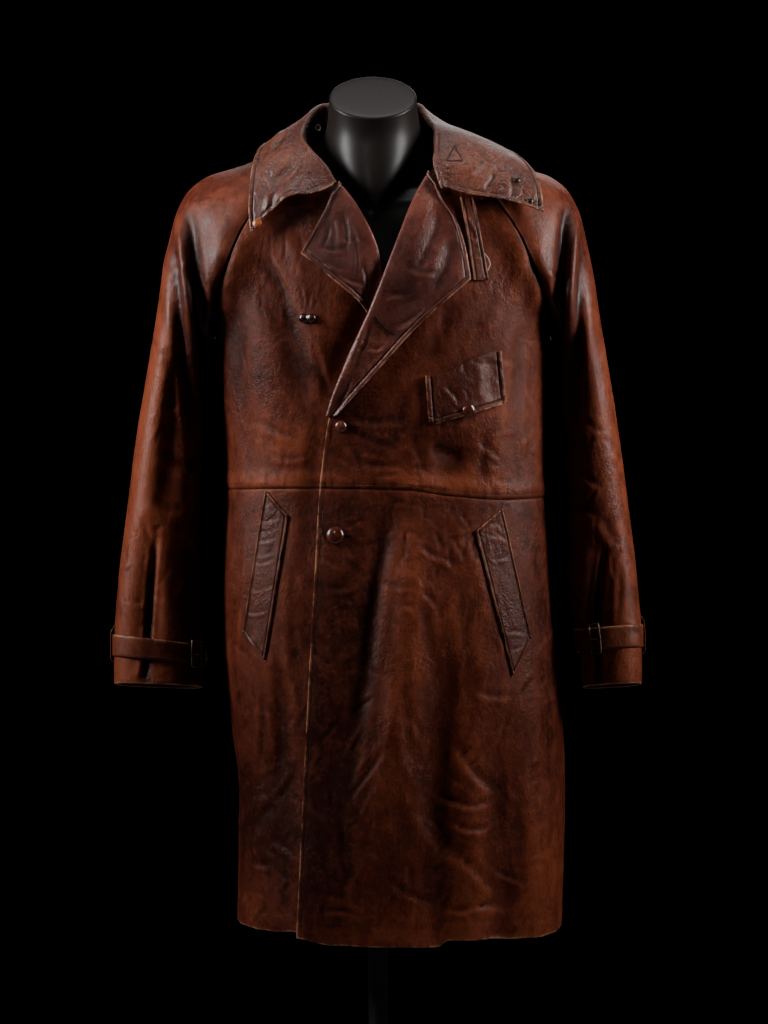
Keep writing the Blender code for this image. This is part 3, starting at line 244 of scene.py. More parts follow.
# soft patches of painted light and shade, partly leather rubbed lighter or darker: painted shade on the
# sleeves' inner sides, under the collar and lapel edges, below the waist seam and towards the hem, painted
# highlights on the collar, lapels, sleeves and above the waist seam; photo place, spread and amount
rubAndPaintedLightPatches = table("x y wide tall amount", """
    262 830 44 120 -.95; 250 905 24 30 .35; 345 600 38 150 -.8; 326 800 34 160 -.8; 425 620 52 140 .2;
    540 640 26 130 -.6; 520 885 60 55 .4; 430 922 100 24 .35; 262 345 40 110 -.8; 288 450 36 40 .35;
    318 365 14 45 -.5; 505 320 36 44 -.35; 216 205 42 34 .5; 540 205 40 34 .45; 148 500 24 190 .8;
    622 480 20 190 .4; 206 470 18 230 -1.4; 563 470 15 230 -1.1; 450 480 60 12 .75; 280 480 60 12 .55;
    440 508 140 10 -.4; 255 508 40 12 -.2; 400 938 170 7 .5; 372 425 42 24 -.7; 440 430 60 30 -.3;
    420 830 60 90 -.35; 232 420 14 150 -.3; 240 760 14 170 -.5; 190 290 16 90 -.8; 572 300 12 90 -.5;
    478 170 24 26 .9; 288 165 22 30 .5; 615 655 26 28 .5; 428 197 18 26 .65; 374 352 14 24 .6;
    405 284 20 28 -.6;
    442 262 14 26 -.5; 371 250 9 30 .6; 328 250 16 24 -.5; 149 610 5 40 -1.6; 147 670 4 16 -1.8;
    192 620 14 70 -1.2; 128 672 12 10 .4; 594 610 6 40 -1.5; 598 668 4 16 -1.8; 622 664 14 12 .5;
    513 850 9 50 -.5; 470 815 30 40 .3; 303 214 20 13 -1.3""")


def rubAndPaintedLightTone(points, normals):
    u, v = photoPlace(points)
    tone = sum(amount * np.exp(-((u - x) / wide) ** 2 - ((v - y) / tall) ** 2)
               for x, y, wide, tall, amount in zip(*rubAndPaintedLightPatches.values()))
    # the painted light and shade fade out on faces turned away from the front
    return tone * ease(0.15, -0.3, normals[..., 1])


# how the leather rises and sinks by an edge, over the distance from it
seamShapes = dict(
    sewn=lambda d: -0.0009 * bell(d, 0.002),
    lapped=lambda d: (0.0014 * bell(d - 0.013, 0.01) - 0.0009 * bell(d, 0.002)
                      - 0.0003 * bell(d - 0.0052, 0.001)),
    turned=lambda d: 0.0012 * (1 - ease(0.0058, 0.0082, d)) - 0.0015 * bell(d - 0.007, 0.0011),
    faced=lambda d: 0.0006 * (1 - ease(0.0058, 0.0082, d)) - 0.0006 * bell(d - 0.007, 0.001),
    piped=lambda d: 0.0009 * bell(d - 0.0018, 0.0018) - 0.0009 * bell(d - 0.0046, 0.0011),
    plain=lambda d: -0.0005 * bell(d, 0.0016),
    under=lambda d: -0.0008 * bell(d, 0.002),
    hem=lambda d: 0.0004 * (1 - ease(0.022, 0.026, d)) - 0.0003 * bell(d - 0.024, 0.002),
    open=lambda d: 0.0 * d,
)


def edgeDistances(points):
    across = np.linalg.norm(np.diff(points, axis=1), axis=2)
    upward = np.linalg.norm(np.diff(points, axis=0), axis=2)
    fromStart = np.pad(np.cumsum(across, axis=1), ((0, 0), (1, 0)))
    fromBottom = np.pad(np.cumsum(upward, axis=0), ((1, 0), (0, 0)))
    return dict(start=fromStart, end=fromStart[:, -1:] - fromStart,
                bottom=fromBottom, top=fromBottom[-1:] - fromBottom)


def seamLift(points, edges):
    lift = np.zeros(points.shape[:2])
    distances = edgeDistances(points)
    for edge, style in edges.items():
        d = distances[edge]
        lift += seamShapes[style](d)
        if style in ("turned", "sewn", "under", "piped"):  # leather puckers along a sewn line
            lift += 0.0004 * softNoise(points, 0.0075, 5.3) * bell(d - 0.005, 0.006)
        elif style == "lapped":
            lift += 0.0009 * softNoise(points * (1, 1, 0.2), 0.0085, 5.3) * bell(d - 0.008, 0.009)
    return lift


def sewn(points, normals, edge, distance, span=(0.0, 1.0)):  # keep a stitch line at a distance from an edge
    d = edgeDistances(points)[edge]
    if edge in ("bottom", "top"):
        points, normals, d = points.transpose(1, 0, 2), normals.transpose(1, 0, 2), d.T
    if edge in ("end", "top"):
        points, normals, d = points[:, ::-1], normals[:, ::-1], d[:, ::-1]
    rows = slice(int(span[0] * len(d)), int(math.ceil(span[1] * len(d))))
    line = []
    for row, facing, run in zip(points[rows], normals[rows], d[rows]):
        if run[-1] > 2 * distance:
            at = [np.interp(distance, run, row[:, axis]) for axis in range(3)]
            up = [np.interp(distance, run, facing[:, axis]) for axis in range(3)]
            line.append((at, up))
    if len(line) > 3:
        line = np.array(line)
        stitchRuns.append((line[:, 0], unit(line[:, 1])))


# finishes

def node(tree, kind, place=(0, 0), **values):
    made = tree.nodes.new(kind)
    made.location = place
    for name, value in values.items():
        setattr(made, name, value)
    return made


def join(tree, source, target):
    tree.links.new(source, target)


def opaque(value):  # colours get their alpha, numbers stay
    return (*value, 1) if isinstance(value, tuple) else value


def newGroup(name, inputs):
    group = bpy.data.node_groups.new(name, "ShaderNodeTree")
    for label, value in inputs.items():
        kind = "NodeSocketColor" if isinstance(value, tuple) else "NodeSocketFloat"
        group.interface.new_socket(label, in_out="INPUT", socket_type=kind).default_value = opaque(value)
    for label, kind in (("Color", "NodeSocketColor"), ("Roughness", "NodeSocketFloat"),
                        ("Height", "NodeSocketFloat")):
        group.interface.new_socket(label, in_out="OUTPUT", socket_type=kind)
    return group, node(group, "NodeGroupInput", (-1400, 0)), node(group, "NodeGroupOutput", (900, 0))


def noiseNode(tree, vector, scale, detail=4.0, rough=0.55, kind="FBM"):
    made = node(tree, "ShaderNodeTexNoise", noise_type=kind)
    made.inputs["Scale"].default_value = scale
    made.inputs["Detail"].default_value = detail
    made.inputs["Roughness"].default_value = rough
    if kind != "FBM":
        made.inputs["Offset"].default_value = 1.0
        made.inputs["Gain"].default_value = 1.7
    join(tree, vector, made.inputs["Vector"])
    return made.outputs["Fac"]


def ranged(tree, value, low, high, toLow=0.0, toHigh=1.0):
    made = node(tree, "ShaderNodeMapRange", interpolation_type="SMOOTHSTEP")
    for label, amount in (("From Min", low), ("From Max", high), ("To Min", toLow), ("To Max", toHigh)):
        made.inputs[label].default_value = amount
    join(tree, value, made.inputs["Value"])
    return made.outputs["Result"]


def math2(tree, operation, a, b):
    made = node(tree, "ShaderNodeMath", operation=operation)
    for socket, value in zip(made.inputs, (a, b)):
        if isinstance(value, (int, float)):
            socket.default_value = value
        else:
            join(tree, value, socket)
    return made.outputs["Value"]


def weighted(tree, *parts):  # sum of values, each times its weight
    total = None
    for value, weight in parts:
        part = math2(tree, "MULTIPLY", value, weight)
        total = math2(tree, "ADD", total, part) if total else part
    return total


def mixed(tree, factor, a, b):
    made = node(tree, "ShaderNodeMix", data_type="RGBA")
    join(tree, factor, made.inputs["Factor"])
    for socket, value in ((made.inputs[6], a), (made.inputs[7], b)):
        if isinstance(value, tuple):
            socket.default_value = value
        else:
            join(tree, value, socket)
    return made.outputs[2]


def stretched(tree, vector, scale):
    made = node(tree, "ShaderNodeMapping")
    made.inputs["Scale"].default_value = scale
    join(tree, vector, made.inputs["Vector"])
    return made.outputs["Vector"]


def leatherGroup():  # colour, gloss and grain that every leather piece shares
    group, given, result = newGroup("wornLeather", dict(
        Dark=(0.021, 0.0042, 0.0023), Mid=(0.07, 0.0135, 0.0064), Light=(0.16, 0.035, 0.014),
        Worn=(0.3, 0.13, 0.068), Gloss=0.4, Crinkle=1.0))
    where = node(group, "ShaderNodeTexCoord").outputs["Object"]
    rub = node(group, "ShaderNodeAttribute", attribute_name="rub").outputs["Fac"]
    edge = node(group, "ShaderNodeAttribute", attribute_name="edge").outputs["Fac"]
    tall = stretched(group, where, (1.0, 1.0, 0.62))
    blotch = noiseNode(group, where, 9.0, 6.0, 0.68)
    streak = noiseNode(group, tall, 46.0, 8.0, 0.72)
    mottle = noiseNode(group, where, 150.0, 5.0, 0.7)
    speck = noiseNode(group, where, 310.0, 4.0, 0.65)
    patchy = noiseNode(group, where, 15.0, 3.0, 0.55)
    wide = noiseNode(group, tall, 58.0, 4.0, 0.55, "RIDGED_MULTIFRACTAL")
    narrow = noiseNode(group, where, 170.0, 3.0, 0.5, "RIDGED_MULTIFRACTAL")
    fine = noiseNode(group, where, 480.0, 3.0, 0.6)
    cells = node(group, "ShaderNodeTexVoronoi", feature="DISTANCE_TO_EDGE")
    cells.inputs["Scale"].default_value = 520.0
    join(group, where, cells.inputs["Vector"])
    # one shade from blotches, streaks, rubbing and painted light and shade picks dark, middle or light
    # leather
    shade = weighted(group, (blotch, 0.34), (streak, 0.42), (mottle, 0.24), (rub, 0.16))
    base = mixed(group, ranged(group, shade, 0.32, 0.51), given.outputs["Dark"], given.outputs["Mid"])
    warm = mixed(group, ranged(group, shade, 0.48, 0.68, 0.0, 0.95), base, given.outputs["Light"])
    flecked = mixed(group, ranged(group, speck, 0.55, 0.72, 0.0, 0.55), warm, given.outputs["Dark"])
    flecked = mixed(group, ranged(group, mottle, 0.56, 0.76, 0.0, 0.55), flecked, given.outputs["Light"])
    frayed = math2(group, "MULTIPLY", edge, ranged(group, streak, 0.34, 0.62, 0.15, 1.0))
    join(group, mixed(group, ranged(group, frayed, 0.25, 0.95, 0.0, 0.85), flecked, given.outputs["Worn"]),
         result.inputs["Color"])
    gloss = math2(group, "ADD", given.outputs["Gloss"], ranged(group, streak, 0.3, 0.7, -0.07, 0.09))
    join(group, math2(group, "ADD", gloss, ranged(group, speck, 0.3, 0.7, -0.03, 0.05)),
         result.inputs["Roughness"])
    lines = math2(group, "ADD", ranged(group, wide, 0.7, 1.8, 0.42, 0.0),
                  ranged(group, narrow, 0.6, 1.7, 0.26, 0.0))
    lines = math2(group, "MULTIPLY", lines, ranged(group, patchy, 0.4, 0.66, 0.25, 1.0))
    lines = math2(group, "MULTIPLY", lines, given.outputs["Crinkle"])
    grain = math2(group, "MULTIPLY", ranged(group, cells.outputs["Distance"], 0.0, 0.25), 0.1)
    pores = weighted(group, (fine, 0.12), (mottle, 0.17))
    join(group, math2(group, "ADD", math2(group, "ADD", lines, grain), pores), result.inputs["Height"])
    return group


def metalGroup():  # patches of tarnish
    group, given, result = newGroup("tarnish", dict(Bright=(0.4, 0.33, 0.22), Dull=(0.1, 0.08, 0.06),
                                                    Gloss=0.3, Patches=1.0))
    where = node(group, "ShaderNodeTexCoord").outputs["Object"]
    patchy = noiseNode(group, where, 240.0, 5.0, 0.6)
    fine = noiseNode(group, where, 1500.0, 3.0, 0.6)
    dulled = ranged(group, patchy, 0.35, 0.65)
    join(group, mixed(group, dulled, given.outputs["Bright"], given.outputs["Dull"]), result.inputs["Color"])
    uneven = math2(group, "MULTIPLY", ranged(group, patchy, 0.3, 0.7, -0.05, 0.2), given.outputs["Patches"])
    join(group, math2(group, "ADD", given.outputs["Gloss"], uneven), result.inputs["Roughness"])
    join(group, weighted(group, (patchy, 0.6), (fine, 0.3)), result.inputs["Height"])
    return group


def finish(name, group, bump, plain=(), **values):
    made = bpy.data.materials.new(name)
    made.use_nodes = True
    tree = made.node_tree
    shader = tree.nodes["Principled BSDF"]
    for label, value in dict(plain).items():
        shader.inputs[label].default_value = opaque(value)
    look = node(tree, "ShaderNodeGroup", (-500, 0), node_tree=group)
    for label, value in values.items():
        look.inputs[label].default_value = opaque(value)
    join(tree, look.outputs["Color"], shader.inputs["Base Color"])
    join(tree, look.outputs["Roughness"], shader.inputs["Roughness"])
    relief = node(tree, "ShaderNodeBump", (-250, -250))
    relief.inputs["Strength"].default_value, relief.inputs["Distance"].default_value = bump
    join(tree, look.outputs["Height"], relief.inputs["Height"])
    join(tree, relief.outputs["Normal"], shader.inputs["Normal"])
    return made


def sheen(level, tint=(1.0, 1.0, 1.0)):
    return {"Specular IOR Level": level, "Specular Tint": tint}


wornLeather, tarnish = leatherGroup(), metalGroup()
leatherBump, smoothBump, fineBump = (0.75, 0.0016), (0.55, 0.0016), (0.3, 0.0003)
warmTint = (1.0, 0.91, 0.9)  # worn leather tints what it mirrors
satin = sheen(0.2, warmTint)
waxed = {"Coat Weight": 0.3, "Coat Roughness": 0.1}
metal = {"Metallic": 1.0}
finishes = dict(
    coat=finish("coatLeather", wornLeather, smoothBump, satin),
    front=finish("frontLeather", wornLeather, smoothBump, sheen(0.13, (1.0, 0.82, 0.76)), Gloss=0.43),
    collar=finish("collarLeather", wornLeather, leatherBump, sheen(0.43), Gloss=0.29, Crinkle=1.6,
                  Mid=(0.06, 0.014, 0.0078), Light=(0.135, 0.036, 0.017)),
    lapel=finish("lapelLeather", wornLeather, smoothBump, sheen(0.38, warmTint), Gloss=0.34,
                 Mid=(0.058, 0.0124, 0.0082), Light=(0.137, 0.033, 0.02)),
    trim=finish("trimLeather", wornLeather, smoothBump, satin, Gloss=0.41, Crinkle=1.3,
                Mid=(0.058, 0.0118, 0.0056), Light=(0.135, 0.031, 0.0125)),
    knot=finish("knotLeather", wornLeather, (0.2, 0.0003), waxed, Gloss=0.22,
                Dark=(0.006, 0.0018, 0.0013), Mid=(0.018, 0.004, 0.0025), Light=(0.035, 0.008, 0.004)),
    button=finish("buttonLeather", wornLeather, (0.2, 0.0003), waxed, Gloss=0.22,
                  Dark=(0.016, 0.0036, 0.0024), Mid=(0.055, 0.0105, 0.0055), Light=(0.115, 0.028, 0.013)),
    orange=finish("orangeKnot", wornLeather, fineBump, Gloss=0.3,
                  Dark=(0.12, 0.025, 0.008), Mid=(0.24, 0.055, 0.014), Light=(0.34, 0.09, 0.022)),
    thread=finish("waxedThread", wornLeather, (0.3, 0.0002), Gloss=0.5,
                  Dark=(0.03, 0.011, 0.006), Mid=(0.07, 0.026, 0.014), Light=(0.12, 0.05, 0.026)),
    pale=finish("frayedThread", wornLeather, (0.3, 0.0002), Gloss=0.6,
                Dark=(0.22, 0.15, 0.1), Mid=(0.34, 0.24, 0.17), Light=(0.45, 0.34, 0.25)),
    # near-black leather as painted shade in buttonhole slits, the collar's triangle and the eyelet's hole
    slit=finish("paintedSlitShade", wornLeather, fineBump, sheen(0.08), Gloss=0.7,
                Dark=(0.003, 0.001, 0.001), Mid=(0.008, 0.003, 0.002), Light=(0.015, 0.006, 0.004)),
    nickel=finish("wornNickel", tarnish, (0.2, 0.0003), metal, Gloss=0.5,
                  Bright=(0.85, 0.8, 0.7), Dull=(0.58, 0.53, 0.45)),
    brass=finish("tarnishedBrass", tarnish, (0.25, 0.0003), metal, Gloss=0.36,
                 Bright=(0.22, 0.17, 0.11), Dull=(0.05, 0.04, 0.03)),
    dark=finish("darkMetal", tarnish, (0.25, 0.0003), metal, Gloss=0.28,
                Bright=(0.09, 0.08, 0.065), Dull=(0.03, 0.026, 0.022)),
    form=finish("satinForm", tarnish, (0.03, 0.0002), sheen(0.16), Gloss=0.38,
                Patches=0.15, Bright=(0.0125, 0.0092, 0.008), Dull=(0.009, 0.0068, 0.006)),
    stand=finish("standEnamel", tarnish, (0.08, 0.0004), sheen(0.3), Gloss=0.48,
                 Bright=(0.003, 0.003, 0.0032), Dull=(0.002, 0.002, 0.0021)),
)
print("finishes ready")


# making pieces

def place(name, mesh, look, slotName, nodeNames):
    made = bpy.data.objects.new(name, mesh)
    mesh.materials.append(finishes[look])
    bpy.context.scene.collection.objects.link(made)
    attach(made, "root")
    if nodeNames:
        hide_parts(*nodeNames)


def nodeOf(name):
    return "".join("_" + letter.lower() if letter.isupper() else letter for letter in name)


def blurred(values, reach):  # mean of each grid point's neighbours
    padded = np.pad(values, ((reach, reach), (reach, reach), (0, 0)), mode="edge")
    for axis in (0, 1):
        total = np.cumsum(padded, axis=axis)
        total = np.concatenate((np.zeros_like(np.take(total, [0], axis)), total), axis)
        size = 2 * reach + 1
        count = padded.shape[axis]
        high, low = (np.take(total, range(a, b), axis) for a, b in ((size, count + 1), (0, count + 1 - size)))
        padded = (high - low) / size
    return padded


# height over which ridges rub lighter and hollows take painted shade, how much it shows, the reach of a worn
# edge, and the tone of hidden faces
wear = dict(proud=0.0018, ridgeRubAndHollowShade=0.45, edge=0.003, hidden=-0.3)


def leatherPiece(name, points, normals, look, worn=(), thickness=leather, nodeName=None):
    rows, columns = points.shape[:2]
    radius = thickness / 2
    every = 3  # the inner face has fewer points
    rim = [(0, c) for c in range(columns)] + [(r, columns - 1) for r in range(1, rows)]
    rim += [(rows - 1, c) for c in range(columns - 2, -1, -1)] + [(r, 0) for r in range(rows - 2, 0, -1)]
    atRow, atColumn = np.array(rim).T
    out = np.zeros((len(rim), 3))
    for edge, beside in ((atRow == 0, (1, 0)), (atRow == rows - 1, (-1, 0)), (atColumn == 0, (0, 1)),
                         (atColumn == columns - 1, (0, -1))):
        r, c = atRow[edge], atColumn[edge]
        out[edge] += unit(points[r, c] - points[r + beside[0], c + beside[1]])
    rimNormal = normals[atRow, atColumn]
    out = unit(out - np.sum(out * rimNormal, axis=1, keepdims=True) * rimNormal)
    border = points[atRow, atColumn]
    shape = points.copy()
    shape[atRow, atColumn] = border - out * radius
    inner = points - normals * thickness
    inner[atRow, atColumn] -= out * radius
    slope = radius * (1 - math.sqrt(0.5))
    rings = (border - out * slope - rimNormal * slope, border - rimNormal * radius,
             border - out * slope - rimNormal * (thickness - slope))
    pickRows = sorted({*range(0, rows, every), rows - 1})
    pickColumns = sorted({*range(0, columns, every), columns - 1})
    innerGrid = inner[np.ix_(pickRows, pickColumns)]
    count, loop = rows * columns, len(rim)
    ids = np.arange(count).reshape(rows, columns)
    innerStart = count + 3 * loop
    innerIds = innerStart + np.arange(innerGrid.shape[0] * innerGrid.shape[1]).reshape(innerGrid.shape[:2])
    faces = np.stack((ids[:-1, :-1], ids[:-1, 1:], ids[1:, 1:], ids[1:, :-1]), -1).reshape(-1, 4).tolist()
    faces += np.stack((innerIds[:-1, :-1], innerIds[1:, :-1], innerIds[1:, 1:], innerIds[:-1, 1:]),
                      -1).reshape(-1, 4).tolist()
    chains = [ids[atRow, atColumn]] + [count + turn * loop + np.arange(loop) for turn in range(3)]
    for now, after in zip(chains, chains[1:]):
        nowNext, afterNext = np.roll(now, -1), np.roll(after, -1)
        faces += np.stack((nowNext, now, after, afterNext), -1).tolist()
    rowOf, columnOf = {r: i for i, r in enumerate(pickRows)}, {c: i for i, c in enumerate(pickColumns)}
    stops = [i for i, (r, c) in enumerate(rim) if r in rowOf and c in columnOf]
    last = chains[-1].tolist()
    for here, there in zip(stops, stops[1:] + [stops[0] + loop]):
        run = [last[i % loop] for i in range(here, there + 1)]
        (ra, ca), (rb, cb) = rim[here], rim[there % loop]
        faces.append(run[::-1] + [int(innerIds[rowOf[ra], columnOf[ca]]),
                                  int(innerIds[rowOf[rb], columnOf[cb]])])
    if np.mean(np.sum(gridNormals(points) * normals, axis=-1)) < 0:
        faces = [face[::-1] for face in faces]
    corners = np.concatenate((shape.reshape(-1, 3), *rings, innerGrid.reshape(-1, 3)))
    mesh = bpy.data.meshes.new(name)
    mesh.from_pydata(corners.tolist(), [], faces)
    # how far each place stands out from its neighbours, and how near it is to a worn edge
    proud = np.sum((points - blurred(points, 4)) * normals, axis=-1) + \
        0.5 * np.sum((points - blurred(points, 9)) * normals, axis=-1)
    # ridges come out lighter as rubbed wear, hollows and creases darker as painted shade, and the patches add
    # painted light and shade
    rub = wear["ridgeRubAndHollowShade"] * np.clip(proud / wear["proud"], -1, 1) + rubAndPaintedLightTone(points, normals)
    edge = np.zeros((rows, columns))
    distances = edgeDistances(points)
    for side in worn:
        edge = np.maximum(edge, bell(distances[side], wear["edge"]))
    rest = len(corners) - count
    rimWorn = np.tile(edge[atRow, atColumn], 3)
    for label, values, tail in (("rub", rub, np.full(rest, wear["hidden"])),
                                ("edge", edge, np.concatenate((rimWorn, np.zeros(rest - len(rimWorn)))))):
        layer = mesh.attributes.new(label, "FLOAT", "POINT")
        layer.data.foreach_set("value", np.concatenate((values.ravel(), tail)).astype(np.float32))
    mesh.shade_smooth()
    mesh.set_sharp_from_angle(angle=math.radians(60))
    panels[name] = points, normals
    squares = np.cross(np.diff(points, axis=0)[:, :-1], np.diff(points, axis=1)[:-1])
    area = np.linalg.norm(squares, axis=-1).sum()
    print(f"{name}: {len(corners)} points, up to {distances['start'].max():.3f} by "
          f"{distances['bottom'].max():.3f} m, area {area:.4f} m2")
    place(name, mesh, look, "leather", [nodeName or nodeOf(name)])


def wirePiece(name, paths, look, slotName, nodeNames):
    curve = bpy.data.curves.new(name, "CURVE")
    curve.dimensions = "3D"
    curve.bevel_depth = 1.0
    curve.bevel_resolution = 3
    curve.use_fill_caps = True
    for path, closed, radius in paths:
        spline = curve.splines.new("POLY")
        spline.points.add(len(path) - 1)
        spline.use_cyclic_u = closed
        for point, spot in zip(spline.points, path):
            point.co = (*spot, 1.0)
            point.radius = radius
    draft = bpy.data.objects.new(name + "Draft", curve)
    bpy.context.scene.collection.objects.link(draft)
    mesh = bpy.data.meshes.new_from_object(draft.evaluated_get(bpy.context.evaluated_depsgraph_get()))
    bpy.data.objects.remove(draft)
    mesh.name = name
    mesh.materials.clear()
    mesh.shade_smooth()
    place(name, mesh, look, slotName, nodeNames)


def standing(points, base, normal):  # points moved so that their z follows a normal
    turn = np.array(Vector(normal).to_track_quat("Z", "Y").to_matrix())
    return points @ turn.T + base


def ringMesh(name, rings, sharp):  # rings of points joined into a closed body
    ids = np.arange(rings.shape[0] * rings.shape[1]).reshape(rings.shape[:2])
    after = np.roll(ids, -1, axis=1)
    faces = np.stack((ids[:-1], after[:-1], after[1:], ids[1:]), -1).reshape(-1, 4).tolist()
    faces += [ids[0][::-1].tolist(), ids[-1].tolist()]
    mesh = bpy.data.meshes.new(name)
    mesh.from_pydata(rings.reshape(-1, 3).tolist(), [], faces)
    mesh.shade_smooth()
    mesh.set_sharp_from_angle(angle=math.radians(sharp))
    return mesh


def turned(name, profile, base, normal, look, slotName, nodeNames, sides=40, shape=None):
    angle = np.arange(sides) * 2 * math.pi / sides
    profile = np.array(profile, float)
    rings = np.stack((profile[:, :1] * np.cos(angle), profile[:, :1] * np.sin(angle),
                      np.repeat(profile[:, 1:], sides, axis=1)), axis=-1)
    if shape:
        rings = shape(rings)
    rings = standing(rings.reshape(-1, 3), base, normal).reshape(rings.shape)
    place(name, ringMesh(name, rings, 50), look, slotName, nodeNames)


# body of the coat

bodyShape = dict(
    squareness=2.4, underarm=1.185, topFront=1.447, topBack=1.472, hem=0.37, waist=0.975, lapel=1.165,
    girth=table("height right left front back", """
        .34 .196 .255 .15 .166; .55 .193 .261 .155 .166; .65 .205 .258 .155 .164; .75 .214 .249 .153 .16;
        .85 .217 .242 .15 .154; .975 .2125 .2375 .141 .14; 1.1 .219 .236 .146 .145; 1.2 .2275 .239 .149 .15;
        1.25 .233 .2415 .146 .15; 1.32 .2355 .241 .131 .145; 1.38 .235 .238 .105 .131; 1.42 .229 .23 .079 .11;
        1.45 .215 .215 .061 .089; 1.48 .195 .195 .05 .074"""),
    waistSeam=table("angle height", """
        -180 .972; -90 .976; -20 .977; 5 .975; 20 .967; 40 .962; 90 .968; 180 .972"""),
    hems={left: table("angle height", "-30 .366; -12 .357; 8 .355; 15 .356; 18 .363; 60 .362; 90 .374"),
          right: table("angle height", "-90 .378; -45 .372; 0 .376; 30 .376")},
    backHem=table("angle height", "90 .38; 150 .368; 180 .366; 210 .368; 270 .38"),
    freeEdges={
        left: table("height x", """
            .34 -.1125; .5 -.106; .664 -.097; .859 -.086; .975 -.0794; 1.043 -.0715; 1.069 -.0672;
            1.15 -.0376;
            1.218 -.0065; 1.308 .0287; 1.373 .0535; 1.4195 .0765"""),
        right: table("height x", """
            .34 .085; .975 .075; 1.1 .068; 1.17 .054; 1.215 .034; 1.266 .004; 1.3035 -.0051; 1.355 -.0295;
            1.398 -.059""")},
    raglanFront=table("height share", """
        1.185 1; 1.215 .975; 1.245 .94; 1.29 .868; 1.32 .815; 1.352 .74; 1.42 .555; 1.447 .478"""),
    raglanBack=table("height share", """
        1.185 1; 1.215 .978; 1.25 .95; 1.3 .88; 1.36 .745; 1.43 .52; 1.472 .365"""),
    deepLap=table("height depth", ".34 .012; .6 .02; .9 .02; 1.02 .009; 1.42 .008"),
)
frontFolds = foldList("""
    .962 .014 .026 .002; .88 .004 .03 .008; .79 -.009 .034 .01; .69 -.022 .034 .009; .62 -.036 .034 .006;
    .52 -.056 .034 0 |
    .95 .052 .022 0; .826 .04 .024 -.008; .7 .028 .026 -.009; .54 .004 .028 -.008; .4 -.02 .03 -.002 |
    .8 .096 .024 0; .7 .088 .026 .009; .56 .08 .028 .01; .37 .084 .03 .008 |
    .7 .17 .024 0; .54 .168 .028 .01; .37 .17 .03 .013 |
    .74 -.142 .022 0; .65 -.138 .024 .009; .54 -.136 .026 .011; .37 -.146 .028 .008 |
    1.298 -.162 .02 0; 1.25 -.138 .022 .006; 1.19 -.12 .022 .009; 1.12 -.104 .022 .006; 1.05 -.098 .022 0 |
    1.26 -.194 .016 0; 1.18 -.19 .018 .004; 1.06 -.184 .018 .004; .985 -.18 .018 .001 |
    1.2 .2 .016 0; 1.12 .196 .018 .004; 1.02 .192 .018 .003; .97 .19 .018 .001 |
    1.06 .104 .024 0; 1.015 .096 .028 .008; .965 .088 .026 .001""")
backFolds = foldList("""
    .96 .06 .024 0; .76 .078 .028 .011; .56 .092 .032 .015; .36 .1 .034 .017 |
    .96 -.04 .024 0; .74 -.058 .028 .01; .56 -.068 .03 .015; .36 -.074 .032 .016 |
    1.33 .15 .022 0; 1.24 .14 .025 .009; 1.11 .12 .025 .009; .99 .105 .022 0 |
    1.33 -.148 .022 0; 1.25 -.136 .025 .008; 1.1 -.112 .025 .01; .99 -.095 .022 0""")


def bodyGirth(height):
    girth = bodyShape["girth"]
    return [smooth(girth["height"], girth[name], height) for name in ("right", "left", "front", "back")]


def frontAngle(x, height):
    toRight, toLeft = bodyGirth(height)[:2]
    share = np.clip(np.abs(x) / np.where(x >= 0, toLeft, toRight), 0.0, 1.0)
    return np.sign(x) * np.arcsin(share ** (bodyShape["squareness"] / 2))


def bodyRing(angle, height):
    toRight, toLeft, front, back = bodyGirth(height)
    sine, cosine = np.sin(angle), np.cos(angle)
    power = 2 / bodyShape["squareness"]
    x = np.where(sine >= 0, toLeft, toRight) * np.sign(sine) * np.abs(sine) ** power
    y = -np.where(cosine >= 0, front, back) * np.sign(cosine) * np.abs(cosine) ** power
    return np.stack(np.broadcast_arrays(x, y, height), axis=-1)


def bodyNormal(face, angle, height):
    step = 0.004
    across = face(angle + step, height) - face(angle - step, height)
    upward = face(angle, height + step) - face(angle, height - step)
    return unit(np.cross(across, upward))


def foldOnBody(angle, height, x):
    cosine = np.cos(angle)
    front = foldDepth(frontFolds, height, x) * ease(0.0, 0.3, cosine)
    return front + foldDepth(backFolds, height, x) * ease(0.0, 0.3, -cosine)


def drapedBody(angle, height):
    ring = bodyRing(angle, height)
    depth = foldOnBody(angle, height, ring[..., 0])
    return ring - bodyNormal(bodyRing, angle, height) * depth[..., None]


def edgeX(side, height):
    edge = bodyShape["freeEdges"][side]
    return smooth(edge["height"], edge["x"], np.asarray(height, float))


def lappedBody(angle, height):  # the right front, which goes deeper under the left one
    ring = bodyRing(angle, height)
    x = ring[..., 0]
    under = x - edgeX(left, height)
    deep = smooth(bodyShape["deepLap"]["height"], bodyShape["deepLap"]["depth"], height)
    depth = foldOnBody(angle, height, x) * (1 - ease(-0.03, 0.03, under))
    depth = depth + 0.0034 * ease(-0.034, -0.008, under) + deep * ease(0, 0.05, under)
    depth = depth + 0.0062 * ease(1.07, 1.18, height) * ease(-0.06, -0.006, under)
    return ring - bodyNormal(bodyRing, angle, height) * depth[..., None]


def bodySurface(angle, height, side=left):
    face = lappedBody if side == right else drapedBody
    angle, height = np.broadcast_arrays(np.asarray(angle, float), np.asarray(height, float))
    return face(angle, height), bodyNormal(face, angle, height)


def frontSurface(side, x, height):
    return bodySurface(frontAngle(x, height), height, side)


def waistHeight(angle):
    degrees = (np.degrees(angle) + 180) % 360 - 180
    return smooth(bodyShape["waistSeam"]["angle"], bodyShape["waistSeam"]["height"], degrees)


def raglanAngle(seam, height):
    share = np.clip(smooth(seam["height"], seam["share"], height), 0, 1)
    return np.arcsin(share ** (bodyShape["squareness"] / 2))


def reachAngle(seam, height):  # the side seam up to the underarm, the raglan seam above it
    under = bodyShape["underarm"]
    return np.where(height < under, math.pi / 2, raglanAngle(seam, np.maximum(height, under)))


def meetWaist(height, angle, share):  # bends the lowest rows to the waist seam
    return height + (waistHeight(angle[0]) - height[0])[None, :] * ((1 - share) ** 3)[:, None]


